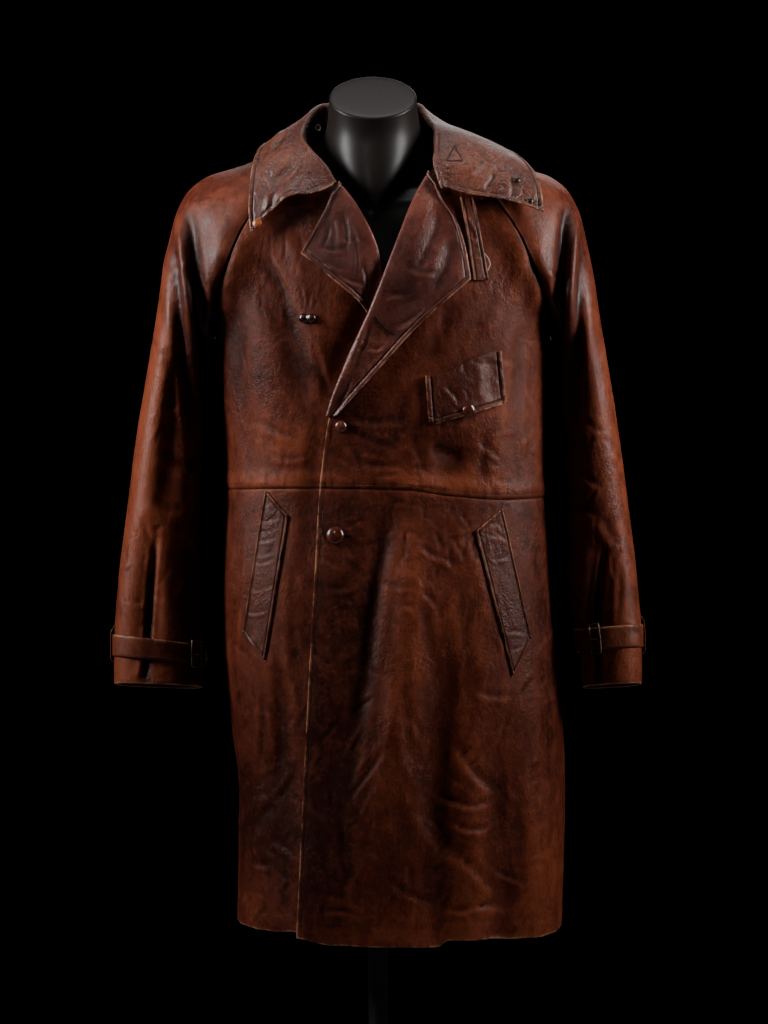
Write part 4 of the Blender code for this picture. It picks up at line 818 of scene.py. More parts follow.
def evenAngles(starts, ends, spacing):
    rows = []
    for start, end in zip(np.ravel(starts), np.ravel(ends)):
        fine = np.linspace(start, end, 400)
        ring = bodyRing(fine, np.full(fine.shape, bodyShape["waist"]))
        length = np.concatenate(([0.0], np.cumsum(np.linalg.norm(np.diff(ring, axis=0), axis=1))))
        rows.append(np.interp(spacing * length[-1], length, fine))
    return np.array(rows)


# how far forward the leather bridges the hollow, from underarm to neck
raglanFill = table("share depth", "0 .004; .12 .013; .25 .025; .4 .026; .55 .017; .75 .009; .95 0; 1 0")


bridge = dict(along=0.012, across=0.034)  # how far the fill is evened out along the seam and fades across it


def raglanSeam(side, share, behind):
    top, seam = (("topBack", "raglanBack") if behind else ("topFront", "raglanFront"))
    height = bodyShape["underarm"] + (bodyShape[top] - bodyShape["underarm"]) * share
    angle = raglanAngle(bodyShape[seam], height)
    return side * (math.pi - angle if behind else angle), height


def bridged(points, side):  # the leather bridges the hollow along the front raglan seam
    share = np.linspace(0, 1, 48)
    line = bodySurface(*raglanSeam(side, share, False))[0]
    apart = ((points[..., None, :] - line) ** 2).sum(axis=-1)
    nearest = apart.min(axis=-1)
    weight = np.exp((nearest[..., None] - apart) / bridge["along"] ** 2)
    filled = weight * smooth(raglanFill["share"], raglanFill["depth"], share)
    depth = filled.sum(axis=-1) / weight.sum(axis=-1)
    moved = points.copy()
    moved[..., 1] -= depth * np.exp(-nearest / bridge["across"] ** 2)
    return moved


bodyCreases = {
    "leftFrontUpper": creaseRows("""
        trough 8 1.3 520,330 516,400 512,470; trough 7 1.2 534,320 531,400 527,480;
        ridge 7 1.3 526,340 523,400 520,470; trough 7 2.2 430,446 447,455 464,458;
        ridge 4 1.8 394,487 425,484 454,489; trough 5 1.5 345,428 372,440 402,452;
        trough 5 1.3 342,434 358,455 368,482; fold 5 1 349,421 380,425 412,420;
        trough 9 2 454,298 440,330 424,368; trough 9 1.8 408,393 398,425 388,458;
        ridge 11 2.2 527,262 505,300 482,342; trough 8 2.2 536,245 526,300 521,360;
        fold 5 1.2 352,462 380,470 415,466; fold 4 1 470,440 490,452 508,470;
        trough 6 1.4 410,432 420,455 424,478; trough 6 1.6 486,428 484,455 480,482"""
    ) + puckers(
        ((331, -6), (352, -5), (372, -4), (389, -3), (463, 4), (481, 6), (504, 4), (524, 3)),
        ((0, 478), (2, 489), (1, 497))),
    "rightFrontUpper": creaseRows("""
        trough 6 2.2 258,251 281,285 295,329 320,380 332,398; trough 3 1.5 266,248 283,286 291,304;
        ridge 7 1.6 275,222 296,252 304,285; trough 5 2 311,330 319,362 329,400;
        ridge 6 1.2 262,268 287,305 303,350; trough 7 1.2 236,290 235,350 237,415;
        ridge 6 0.8 249,300 250,360 254,430; trough 2.4 1.3 301,287 303,298 305,311;
        trough 2.4 1.3 310,289 309,300 309,311; trough 2.2 0.9 318,297 315,305 312,313;
        fold 5 1.2 258,420 276,436 300,440; fold 4 1 270,455 288,462 312,456;
        ridge 4 1 228,483 270,485 318,485"""
    ) + puckers(
        ((234, 0), (251, 0), (268, 0), (287, 0), (306, 0)), ((0, 473), (1, 482), (0, 490))),
    "leftFrontSkirt": creaseRows("""
        trough 9 2.4 389,500 381,560 372,620 362,700 350,745;
        ridge 8 2.2 398,505 386,600 376,680 363,760 352,850; trough 8 2.2 397,630 402,690 414,775;
        fold 4 1.3 405,528 414,538 426,541; fold 4 1.4 418,545 428,556 442,560;
        trough 4 1.3 432,526 440,540 444,558; fold 4 1.2 448,536 458,548 463,568;
        trough 3.5 1.2 402,552 410,566 414,582; ridge 2.2 0.7 443,608 450,600 461,597;
        ridge 2.2 0.7 446,614 454,606 464,603; fold 6 2 452,742 470,775 497,797;
        ridge 4 1.4 449,780 463,790 477,800; fold 6 1.9 447,852 478,878 496,899;
        ridge 3.5 1.5 342,762 354,738 366,720; trough 3 1.1 314,714 328,730 343,714;
        trough 8 1.8 338,800 346,850 352,892; ridge 6 1.6 468,908 490,914 507,909;
        fold 4 1.1 426,815 438,830 450,838; trough 3 1 345,528 356,522 368,520;
        trough 3 1 345,542 352,552 357,566; fold 3.5 1.1 322,556 332,566 347,570;
        fold 4 1 320,585 334,592 352,588; trough 9 2.4 546,640 549,720 553,800;
        trough 8 1.8 516,800 522,850 526,900; ridge 8 1.6 500,720 508,790 512,860;
        trough 6 1.3 420,600 430,640 436,690; fold 5 1.2 470,690 492,700 516,696;
        fold 5 1.3 385,880 410,900 440,905; trough 5 1.2 310,640 322,660 340,668;
        fold 4 1 309,800 318,815 332,822; ridge 6 1.4 470,540 478,580 488,630;
        trough 7 1.5 458,590 466,640 474,700; fold 5 2 426,793 449,802 472,811 497,797;
        fold 5 1.8 445,820 467,834 495,829; fold 4 1.6 490,870 508,879 526,884;
        fold 5 1.8 440,906 458,915 485,906 508,911; trough 4 1.8 345,802 358,788 367,774 381,756 385,738;
        fold 4 1.4 317,915 340,911 363,920; trough 12 3 513,811 517,847 508,884 504,911;
        trough 10 2.4 417,802 440,838 472,856; ridge 12 2.6 404,747 408,793 426,838 449,884"""
    ) + puckers(
        ((336, -3), (358, -2), (412, 1), (432, 3), (452, 5), (540, 4)), ((0, 494), (-1, 503), (1, 513))),
    "rightFrontSkirt": creaseRows("""
        trough 7 2.3 277,640 283,700 285,776; ridge 6 1.6 267,650 271,700 274,765;
        fold 6 2 272,798 256,815 238,832; trough 5 1.5 263,690 263,740 256,778;
        fold 5 1.4 294,768 284,790 268,804; ridge 5 1.2 248,520 241,600 237,665;
        trough 6 1.6 292,560 294,620 292,690; trough 7 1.6 266,840 262,880 264,925;
        fold 4 1.1 246,860 258,868 276,866; trough 5 1.3 235,560 232,640 236,720"""),
    "backUpper": creaseRows("""
        trough 10 2.2 300,215 310,290 322,360; trough 10 2 478,210 462,280 452,350;
        fold 8 2 250,330 285,360 330,370; fold 8 1.8 520,340 482,366 446,372;
        trough 9 2 384,380 380,420 386,470;
        ridge 9 1.6 350,400 352,440 346,478; fold 7 1.6 420,420 450,436 486,438;
        fold 7 1.6 262,430 292,446 326,442; trough 5 1.2 372,240 398,252 424,246;
        trough 7 1.6 240,300 244,380 250,460; trough 7 1.6 530,300 526,380 520,460"""),
    "backSkirt": creaseRows("""
        trough 9 2 350,500 346,600 340,720; ridge 9 2 384,520 382,640 378,780;
        trough 9 2 432,500 444,620 452,760; fold 7 1.8 280,600 310,626 338,632;
        fold 7 1.8 400,690 430,716 462,724; fold 7 1.6 470,820 500,846 528,850;
        trough 9 2 262,640 262,740 268,860; trough 9 2 524,600 530,700 534,820;
        fold 6 1.5 290,820 322,836 352,832; ridge 8 1.6 300,700 304,780 306,880;
        trough 6 1.4 400,830 410,870 412,920"""),
}


# where small creases gather: seed, count, photo box, lean, then spread and strength where they differ
crumples = (
    ("leftFrontUpper", 1, 26, (345, 425, 540, 485), 70),
    ("leftFrontUpper", 2, 20, (440, 290, 545, 430), 15, 38, 0.6),
    ("rightFrontUpper", 3, 30, (235, 230, 325, 330), 8, 14, 0.55),
    ("rightFrontUpper", 4, 22, (232, 330, 322, 485), 40, 38, 0.6),
    ("leftFrontSkirt", 5, 46, (385, 505, 475, 620), 35, 40, 1.2),
    ("leftFrontSkirt", 6, 40, (312, 520, 380, 930), 40),
    ("leftFrontSkirt", 7, 80, (350, 640, 560, 935), -35, 34, 1.15),
    ("rightFrontSkirt", 8, 46, (235, 640, 305, 925), 20),
    ("backUpper", 9, 60, (240, 220, 530, 480), 20), ("backSkirt", 10, 80, (245, 510, 545, 930), 25),
)
for crumpled, *gathered in crumples:
    bodyCreases[crumpled] += scattered(*gathered)

seamSteps = np.array((0, 0.0022, 0.0038, 0.0056, 0.0078))  # finer rows above the waist seam


def dressed(points, normals, edges, creases, waves=1.0):
    lift = creaseLift(points, creases) + looseLift(points, waves) + seamLift(points, edges)
    return points + normals * lift[..., None]


def frontUpper(side):
    name = f"{sideWord(side)}FrontUpper"
    under, top = bodyShape["underarm"], bodyShape["topFront"]
    sideWaist = waistHeight(side * math.pi / 2)
    run = np.concatenate((seamSteps, np.linspace(0.0105, under - sideWaist, 62)))
    sideHeight = np.concatenate((sideWaist + run, np.linspace(under, top, 92)[1:]))
    outer = reachAngle(bodyShape["raglanFront"], sideHeight)
    edge = bodyShape["freeEdges"][side]
    low = waistHeight(frontAngle(edgeX(side, bodyShape["waist"]), bodyShape["waist"]))
    freeHeight = np.interp(sideHeight, (sideWaist, under, top), (low, bodyShape["lapel"], edge["height"][-1]))
    angle = evenAngles(frontAngle(edgeX(side, freeHeight), freeHeight), side * outer, shares(0.32, 104))
    across = np.linspace(0, 1, angle.shape[1])[None, :]
    height = freeHeight[:, None] + (sideHeight - freeHeight)[:, None] * across
    share = (sideHeight - sideWaist) / (top - sideWaist)
    height = meetWaist(height, angle, share)
    points = bridged(bodySurface(angle, height, side)[0], side)
    normals = gridNormals(points) * side
    edges = dict(start="faced" if side == left else "open", end="under", bottom="lapped")
    points = dressed(points, normals, edges, bodyCreases[name])
    leatherPiece(name, points, normals, "front", worn=("start",))
    if side == left:
        sewn(points, normals, "start", stitchIn["turned"], (0.0, 0.24))
    sewn(points, normals, "bottom", stitchIn["lapped"])
    sewn(points, normals, "end", stitchIn["raglan"], (0.44, 0.99))


def frontSkirt(side):
    name = f"{sideWord(side)}FrontSkirt"
    hem = bodyShape["hems"][side]
    up = shares(0.6, 176)[:, None]
    height = bodyShape["hem"] + up * (bodyShape["waist"] - bodyShape["hem"])
    columns = shares(0.36, 132 if side == left else 116)
    for _ in range(4):
        free = frontAngle(edgeX(side, height[:, :1]), height[:, :1])
        angle = evenAngles(free, np.full(free.shape, side * math.pi / 2), columns)
        low = smooth(hem["angle"], hem["height"], np.degrees(angle))
        low = low + 0.0009 * np.sin(angle * 17 + side) * np.sin(angle * 7)  # the hem isn't quite even
        height = low + (waistHeight(angle) - low) * up
    points, normals = bodySurface(angle, height, side)
    edges = dict(start="faced" if side == left else "open", end="sewn", bottom="hem", top="under")
    points = dressed(points, normals, edges, bodyCreases[name], 1.2)
    leatherPiece(name, points, normals, "front", worn=("start", "bottom"))
    if side == left:
        sewn(points, normals, "start", stitchIn["turned"])


def backUpper():
    under, top = bodyShape["underarm"], bodyShape["topBack"]
    waists = waistHeight(math.pi / 2), waistHeight(-math.pi / 2)
    run = np.concatenate((seamSteps / 0.21, np.linspace(0.05, 1, 48)))
    leftSide, rightSide = (np.concatenate((waist + run * (under - waist), np.linspace(under, top, 72)[1:]))
                           for waist in waists)
    reach = reachAngle(bodyShape["raglanBack"], leftSide)
    angle = evenAngles(math.pi - reach, math.pi + reach, shares(0.64, 120))
    across = np.linspace(0, 1, angle.shape[1])[None, :]
    height = leftSide[:, None] + (rightSide - leftSide)[:, None] * across
    share = (leftSide - waists[0]) / (top - waists[0])
    height = meetWaist(height, angle, share)
    points, normals = bodySurface(angle, height)
    points = dressed(points, normals, dict(start="under", end="under", bottom="lapped"),
                     bodyCreases["backUpper"])
    leatherPiece("backUpper", points, normals, "coat")
    sewn(points, normals, "bottom", stitchIn["lapped"])
    for edge in ("start", "end"):
        sewn(points, normals, edge, stitchIn["raglan"], (0.44, 0.99))


def backSkirt():
    angle = evenAngles(math.pi / 2, 3 * math.pi / 2, shares(0.74, 140))
    low = smooth(bodyShape["backHem"]["angle"], bodyShape["backHem"]["height"], np.degrees(angle))
    low = low + 0.0016 * np.sin(angle * 19) * np.sin(angle * 7)
    height = low + (waistHeight(angle) - low) * shares(0.6, 130)[:, None]
    points, normals = bodySurface(*np.broadcast_arrays(angle, height))
    points = dressed(points, normals, dict(start="sewn", end="sewn", bottom="hem", top="under"),
                     bodyCreases["backSkirt"], 1.2)
    leatherPiece("backSkirt", points, normals, "coat", worn=("bottom",))


# sleeves

sleeveShape = dict(
    over=table("station x y z", """
        -1 .366 -.04 .706; -.86 .366 -.036 .765; -.7 .361 -.028 .845; -.45 .348 -.014 .962;
        -.22 .333 -.005 1.076; 0 .31 0 1.215; .2 .3025 .002 1.266; .4 .294 .004 1.318; .55 .283 .006 1.361;
        .68 .268 .008 1.392; .78 .243 .01 1.4135; .88 .19 .012 1.432; 1 .107 .012 1.468"""),
    under={
        right: table("station x y z", """
            -1 .243 -.036 .702; -.86 .243 -.033 .758; -.7 .241 -.026 .836; -.45 .236 -.013 .951;
            -.22 .234 -.005 1.06; 0 .229 0 1.185"""),
        left: table("station x y z", """
            -1 .283 -.038 .702; -.86 .279 -.035 .758; -.7 .264 -.027 .836; -.45 .25 -.013 .951;
            -.22 .244 -.005 1.06; 0 .241 0 1.185""")},
    reach=table("station seamOut seamFore seamUp overOut overFore overUp", """
        -1 0 .06 0 0 .06 0; -.86 0 .062 0 0 .062 0; -.7 0 .074 0 0 .074 0; -.45 0 .098 0 0 .098 0;
        -.22 0 .118 0 0 .118 0; 0 .006 .128 0 0 .128 0; .2 .014 .072 .004 0 .112 0; .4 .03 .03 .006 0 .104 0;
        .55 .036 .014 .01 0 .088 -.006; .68 .036 .005 .013 0 .07 -.008; .78 .03 -.002 .014 -.004 .055 -.012;
        .88 .022 -.008 .014 -.004 .042 -.008; 1 .014 -.012 .014 .004 .024 0"""),
    cuffTilt=0.12, armRows=150, raglanRows=92, frontColumns=78, backColumns=58,
    frontFolds={
        right: foldList("""
            1.37 .256 .015 0; 1.319 .247 .017 .008; 1.236 .243 .017 .01; 1.15 .24 .017 .006;
            1.06 .238 .017 0 |
            1.32 .28 .014 0; 1.26 .276 .015 .006; 1.18 .276 .017 .01; 1.09 .281 .019 .012; 1 .288 .021 .01;
            .92 .294 .021 0 |
            .94 .312 .019 0; .88 .3165 .019 .006; .8 .3165 .019 .008; .765 .318 .018 .006;
            .71 .318 .017 .003"""),
        left: foldList("""
            1.374 .262 .015 0; 1.33 .254 .016 .009; 1.291 .25 .017 .012; 1.195 .247 .017 .01;
            1.072 .245 .017 .004; 1 .244 .017 0 |
            1.32 .28 .014 0; 1.24 .277 .015 .006; 1.16 .276 .016 .007; 1.04 .28 .018 0 |
            .95 .309 .019 0; .88 .307 .019 .006; .79 .302 .019 .009; .74 .302 .018 .006;
            .7 .302 .018 .003""")},
    backFolds={
        right: foldList("1.3 .262 .022 0; 1.15 .272 .026 .01; 1 .284 .026 .011; .86 .298 .024 0"),
        left: foldList("1.28 .266 .022 0; 1.14 .276 .026 .011; .99 .29 .026 .009; .88 .3 .024 0")},
    frontCreases={
        right: creaseRows("""
            trough 7 11 187,200 194,262 203,335 212,420 216,480;
            ridge 6 4.5 179,206 185,260 194,330 203,400 210,450;
            trough 6 8 172,214 174,260 178,310 184,360 193,450; ridge 8 1.6 168,235 163,300 157,370;
            trough 5 6 158,520 152,580 148,632 147,690; ridge 7 1.8 165,535 164,590 163,636;
            fold 6 1.7 158,452 175,468 195,473; fold 6 1.5 148,498 165,512 188,514;
            trough 5 1.3 140,515 149,535 155,562; fold 5 1.3 150,400 165,410 184,408;
            trough 5 1.4 186,520 188,570 186,630; fold 5 2.5 142,655 143,668 138,682;
            fold 5 1.2 126,600 136,606 148,602"""),
        left: creaseRows("""
            trough 6 10 569,192 563,245 558,320 556,440; ridge 6 4 576,198 571,260 567,330 565,400;
            trough 6 6 584,214 582,280 577,360 573,440; ridge 8 2 590,255 603,340 615,425;
            fold 6 2 598,518 606,532 615,550; trough 5 6 606,535 600,585 597,630 598,690;
            fold 5 1.5 573,468 588,484 606,490; fold 5 1.4 570,505 585,514 600,516;
            ridge 6 1.6 586,542 585,590 583,628; fold 5 1.3 580,420 594,432 610,434;
            trough 5 1.5 620,560 620,595 617,628; trough 4 1.2 612,655 608,664 606,680""")},
    backCreases={
        right: creaseRows("""
            trough 8 2.2 196,230 184,310 172,390; fold 7 1.8 150,440 172,456 196,458;
            fold 7 1.6 140,520 162,534 190,532; trough 7 2 170,560 164,610 160,660;
            ridge 8 1.6 176,400 168,480 160,560; fold 6 1.4 160,340 178,350 200,346"""),
        left: creaseRows("""
            trough 8 2.2 566,236 578,310 588,390; fold 7 1.8 566,452 588,462 612,448;
            fold 7 1.6 572,526 596,538 622,524; trough 7 2 596,556 602,610 606,660;
            ridge 8 1.6 584,400 594,480 600,560; fold 6 1.4 566,352 584,354 604,342""")},
)

for eachSide, box in ((right, (122, 240, 214, 630)), (left, (556, 240, 640, 630))):
    sleeveShape["frontCreases"][eachSide] += scattered(12 + eachSide, 44, box, 45 * eachSide)
    sleeveShape["backCreases"][eachSide] += scattered(15 + eachSide, 44, box, 45 * eachSide)


# station is -1 at the cuff, 0 at the underarm and 1 at the neck
# place is 0 at the front seam, 1 overarm and 2 at the back
def plainSleeve(side, station, place):
    station, place = np.asarray(station, float), np.asarray(place, float)
    shape = sleeveShape
    over = np.stack([smooth(shape["over"]["station"], shape["over"][axis], station) for axis in "xyz"],
                    axis=-1)
    under = shape["under"][side]
    low = np.stack([smooth(under["station"], under[axis], np.minimum(station, 0)) for axis in "xyz"], axis=-1)
    reaches = [smooth(shape["reach"]["station"], shape["reach"][name], station)
               for name in ("seamOut", "seamFore", "seamUp", "overOut", "overFore", "overUp")]
    share = np.clip(station, 0, 1)
    seams = []
    for behind in (False, True):
        points, normals = bodySurface(*raglanSeam(side, share, behind))
        points = points + normals * (0.001 * (1 - ease(0.25, 0.6, share)))[..., None]
        seams.append(np.where((station < 0)[..., None], low, points * np.array((side, 1, 1))))
    behind = (place > 1)[..., None]
    seam = np.where(behind, seams[1], seams[0])
    way = np.where(behind, np.array((1.0, 1.0, 1.0)), np.array((1.0, -1.0, 1.0)))
    t = np.where(place > 1, 2 - place, place)[..., None]
    reaches[1] = reaches[1] * np.where(place > 1, 1.0, 1 - 0.42 * (1 - ease(-0.1, 0.1, station)))
    first = seam + np.stack(np.broadcast_arrays(*reaches[:3]), axis=-1) * way
    second = over + np.stack(reaches[3:], axis=-1) * way
    points = bezier(t, seam, first, second, over)
    points[..., 2] += shape["cuffTilt"] * (over[..., 1] - points[..., 1]) * ease(-0.6, -1.0, station)
    return points


def sleeveNormal(side, station, place):  # by small steps round and along the plain sleeve
    step = 0.006
    station, place = np.broadcast_arrays(np.asarray(station, float), np.asarray(place, float))
    around = plainSleeve(side, station, (place + step) % 2) - plainSleeve(side, station, (place - step) % 2)
    below = np.maximum(station - step, -1)
    along = plainSleeve(side, station + step, place) - plainSleeve(side, below, place)
    return unit(np.cross(around, along))


def tubeNormals(points, closedRows):  # grid normals that agree where the tube's two edges meet
    normals = gridNormals(points)
    shared = unit(normals[closedRows, 0] + normals[closedRows, -1])
    normals[closedRows, 0] = normals[closedRows, -1] = shared
    return normals


def hungSmooth(points, station, around):  # evens out the drape past the underarm, away from the seams
    even = evened(points, 260)
    seamward = np.minimum(around, 2 - around)
    weight = ease(0.02, 0.24, seamward) * ease(-0.42, -0.12, station) * (1 - ease(0.12, 0.46, station))
    return points + (even - points) * weight[..., None]


def sleeve(side):
    shape = sleeveShape
    station = np.concatenate((np.linspace(-1, 0, shape["armRows"] + 1)[:-1],
                              np.linspace(0, 1, shape["raglanRows"] + 1)))[:, None]
    edge = np.array((0.0, 0.012, 0.022, 0.034))
    front = np.concatenate((edge, np.linspace(0.05, 1, shape["frontColumns"])[:-1]))
    back = np.concatenate((np.linspace(1, 1.95, shape["backColumns"]), 2 - edge[::-1]))
    around = np.concatenate((front, back))[None, :]
    mirror = np.array((side, 1, 1))
    points = hungSmooth(plainSleeve(side, station, around), station, around)
    points = bridged(points * mirror, side) * mirror
    closedRows = station[:, 0] < 0
    normals = tubeNormals(points, closedRows)
    x, height = points[..., 0], points[..., 2]
    depth = foldDepth(shape["frontFolds"][side], height, x) * ease(1, 0.82, around)
    depth = depth + foldDepth(shape["backFolds"][side], height, x) * ease(1, 1.18, around)
    points = (points - normals * depth[..., None]) * mirror
    normals = tubeNormals(points, closedRows) * side
    lift = creaseLift(points, shape["frontCreases"][side]) * ease(1.02, 0.84, around)
    lift = lift + creaseLift(points, shape["backCreases"][side]) * ease(0.98, 1.16, around)
    lift = lift + looseLift(points, 1.1) * ease(0.0, 0.04, np.minimum(around, 2 - around))
    lift = lift + seamLift(points, dict(start="sewn", end="sewn", bottom="plain"))
    points = points + normals * lift[..., None]
    leatherPiece(f"{sideWord(side)}Sleeve", points, normals, "coat", worn=("bottom",))


backUpper()
backSkirt()
for eachSide in (right, left):
    frontUpper(eachSide)
    frontSkirt(eachSide)
    sleeve(eachSide)
print("body and sleeves cut")


# collar and lapels

collarShape = dict(
    sections=table("neckX neckY neckZ rollX rollY rollZ edgeX edgeY edgeZ radius bow", """
        -.062 -.102 1.394 -.059 -.106 1.404 -.1735 -.124 1.329 .0032 .012;
        -.0745 -.093 1.41 -.071 -.096 1.421 -.1765 -.113 1.362 .0034 .009;
        -.09 -.076 1.433 -.0935 -.077 1.445 -.1755 -.09 1.397 .0038 .007;
        -.098 -.042 1.458 -.106 -.036 1.47 -.1705 -.042 1.439 .0044 .006;
        -.101 .005 1.472 -.095 .012 1.506 -.16 .012 1.458 .005 .004;
        -.088 .048 1.476 -.076 .048 1.523 -.14 .09 1.445 .005 .006;
        0 .077 1.4722 -.005 .071 1.529 -.003 .115 1.431 .005 .008;
        .088 .048 1.476 .056 .05 1.524 .14 .092 1.445 .005 .006;
        .101 .005 1.472 .07 .01 1.5 .175 .01 1.452 .005 .01;
        .094 -.042 1.46 .081 -.034 1.478 .205 -.044 1.429 .0046 .014;
        .086 -.076 1.44 .081 -.07 1.452 .2185 -.083 1.405 .004 .016;
        .085 -.094 1.418 .079 -.096 1.429 .2245 -.104 1.381 .0036 .014;
        .093 -.108 1.384 .089 -.114 1.39 .226 -.115 1.359 .0032 .012"""),
    rows=190, standColumns=12, rollColumns=10, fallColumns=46, rollEnd=math.radians(25),
    endDrop={right: 0.005, left: 0.0055}, standOff={right: 0.012, left: 0.006},
    curl=0.011, sag=0.01, sagForward=0.004,
    creases=creaseRows("""
        fold 4 1.4 304,140 292,155 286,172; trough 5 1.7 300,160 284,176 268,180;
        ridge 5 1.7 308,158 294,172 282,190; fold 4 1.3 288,130 276,142 268,156;
        trough 4 1.3 318,170 302,182 290,198; fold 3.5 1.2 274,190 268,205 270,218;
        ridge 3.5 1.6 300,146 298,158 302,170; trough 3 1.1 312,146 306,160 310,176;
        fold 3 1.1 262,172 272,180 276,196; trough 3 1 284,196 276,206 262,212;
        fold 4 1.9 462,150 476,158 484,172; trough 4 1.8 470,146 482,150 494,162;
        ridge 4 2 488,164 478,178 468,190; fold 4 1.7 450,170 462,178 470,190;
        trough 3.5 1.6 484,156 474,170 462,182; fold 3.5 1.4 496,170 486,184 480,196;
        trough 3 1.2 446,136 456,144 470,146; fold 3 1.2 508,176 512,190 508,200;
        ridge 3.5 1.7 472,156 470,168 476,182; trough 3 1.4 478,150 488,160 500,166;
        fold 3 1.3 444,176 452,186 464,192; ridge 3 1.2 494,160 498,174 494,188"""),
)


def collar():
    shape = collarShape
    sections = shape["sections"]
    knots = np.linspace(0, 1, len(sections["radius"]))
    at = shares(0.78, shape["rows"])
    neck, roll, edge = (np.stack([smooth(knots, sections[part + axis], at) for axis in "XYZ"], axis=-1)
                        for part in ("neck", "roll", "edge"))
    radius, bow = (smooth(knots, sections[name], at)[:, None] for name in ("radius", "bow"))
    up = np.array((0.0, 0.0, 1.0))
    out = unit((edge - roll) * np.array((1, 1, 0)))
    centre = roll - radius * up
    columns = [neck + (centre - radius * out - neck) * share
               for share in np.linspace(0, 1, shape["standColumns"] + 1)[:-1]]
    for turn in np.linspace(math.pi, shape["rollEnd"], shape["rollColumns"] + 1):
        columns.append(centre + radius * (math.cos(turn) * out + math.sin(turn) * up))
    start = columns[-1]
    length = np.linalg.norm(edge - start, axis=-1, keepdims=True)
    leaving = math.sin(shape["rollEnd"]) * out - math.cos(shape["rollEnd"]) * up
    first = start + leaving * length * 0.1 + (edge - start) * 0.2 + up * bow
    second = start + (edge - start) * 0.68 + up * bow
    fall = np.concatenate((np.linspace(0, 0.87, shape["fallColumns"])[1:], 1 - edgeSteps[::-1] / 0.105))
    columns += [bezier(t, start, first, second, edge) for t in fall]
    points = np.stack(columns, axis=1)
    spread = np.linspace(0, 1, points.shape[1])[None, :]
    ends = {right: ease(0.14, 0.0, at)[:, None], left: ease(0.9, 1.0, at)[:, None]}
    dropped, standsOff = (shape[name][right] * ends[right] + shape[name][left] * ends[left]
                          for name in ("endDrop", "standOff"))
    points[..., 2] -= ease(0.3, 0.5, spread) * dropped
    points[..., 1] -= bell(spread - 0.62, 0.2) * standsOff  # the leaf's lower edge stands off the chest
    sag = bell(spread - 0.31, 0.19)  # the right end curls up in its middle and sags over the lapel
    points[..., 2] += ends[right] * (shape["curl"] * bell(spread - 0.7, 0.15) - shape["sag"] * sag)
    points[..., 1] -= shape["sagForward"] * ends[right] * sag
    normals = -gridNormals(points)
    lift = seamLift(points, dict(end="turned", bottom="turned", top="turned")) * ease(0.3, 0.45, spread)
    fallen = ease(0.45, 0.6, spread)
    lift = lift + 1.5 * creaseLift(points, shape["creases"]) * fallen + looseLift(points, 0.9) * fallen
    points = points + normals * lift[..., None]
    leatherPiece("coatCollar", points, normals, "collar", ("end", "bottom", "top"), foldedLeather, "collar")
    sewn(points, normals, "end", stitchIn["turned"])
    for edge in ("bottom", "top"):
        sewn(points, normals, edge, stitchIn["turned"], (0.36, 0.95))


lapelShape = {
    left: dict(tip=3, rows=table("rollZ edgeX edgeZ rollLift edgeLift", """
        1.0745 -.055 1.076 .0054 .0044; 1.15 -.001 1.1357 .0062 .0036; 1.218 .0567 1.199 .007 .0038;
        1.2945 .125 1.2605 .007 .0042; 1.342 .118 1.303 .0066 .0042; 1.378 .106 1.34 .0062 .0042;
        1.398 .09 1.364 .0058 .0042; 1.408 .077 1.39 .0054 .0042"""),
        creases=creaseRows("""
            trough 5 1.2 372,322 366,340 356,362; fold 4 1.1 395,330 412,322 428,308;
            ridge 7 2.2 430,190 420,225 404,262; trough 8 2.2 452,240 446,270 430,296;
            fold 4 1 384,300 396,296 410,300; trough 6 1.8 440,215 430,246 414,276;
            fold 4 1 404,268 420,276 438,274; trough 4 1.1 352,376 346,392 338,408;
            ridge 4 1.1 364,330 354,356 344,384; fold 3 1 366,348 376,352 386,346""")),
    right: dict(tip=4, rows=table("rollZ edgeX edgeZ rollLift edgeLift", """
        1.215 .012 1.188 .0044 .0038; 1.2365 -.005 1.2035 .0044 .0038; 1.266 -.0295 1.232 .0048 .0038;
        1.3035 -.0675 1.2648 .0066 .0044; 1.355 -.103 1.2945 .007 .0052; 1.38 -.0777 1.341 .0066 .0052;
        1.392 -.062 1.376 .006 .005"""),
        creases=creaseRows("""
            trough 4 1.2 342,212 348,232 346,258; ridge 4 1.2 336,214 340,236 338,262;
            fold 3.5 1.1 318,248 332,254 350,250; trough 3.5 1 354,236 358,256 356,280;
            fold 3 0.9 322,262 336,270 352,272; trough 3 1 330,226 328,240 320,252;
            ridge 3 0.9 350,214 356,232 364,252; fold 3 0.9 340,278 352,284 366,286;
            trough 3 0.9 362,262 366,278 368,300; fold 3 0.8 338,240 350,244 362,240""")),
}


# how the free edge curls, how strongly creases and waves show, and how far the bend is tucked under
lapelLeaf = dict(curl=0.0022, creases=1.3, waves=0.6, tuck=0.0009)


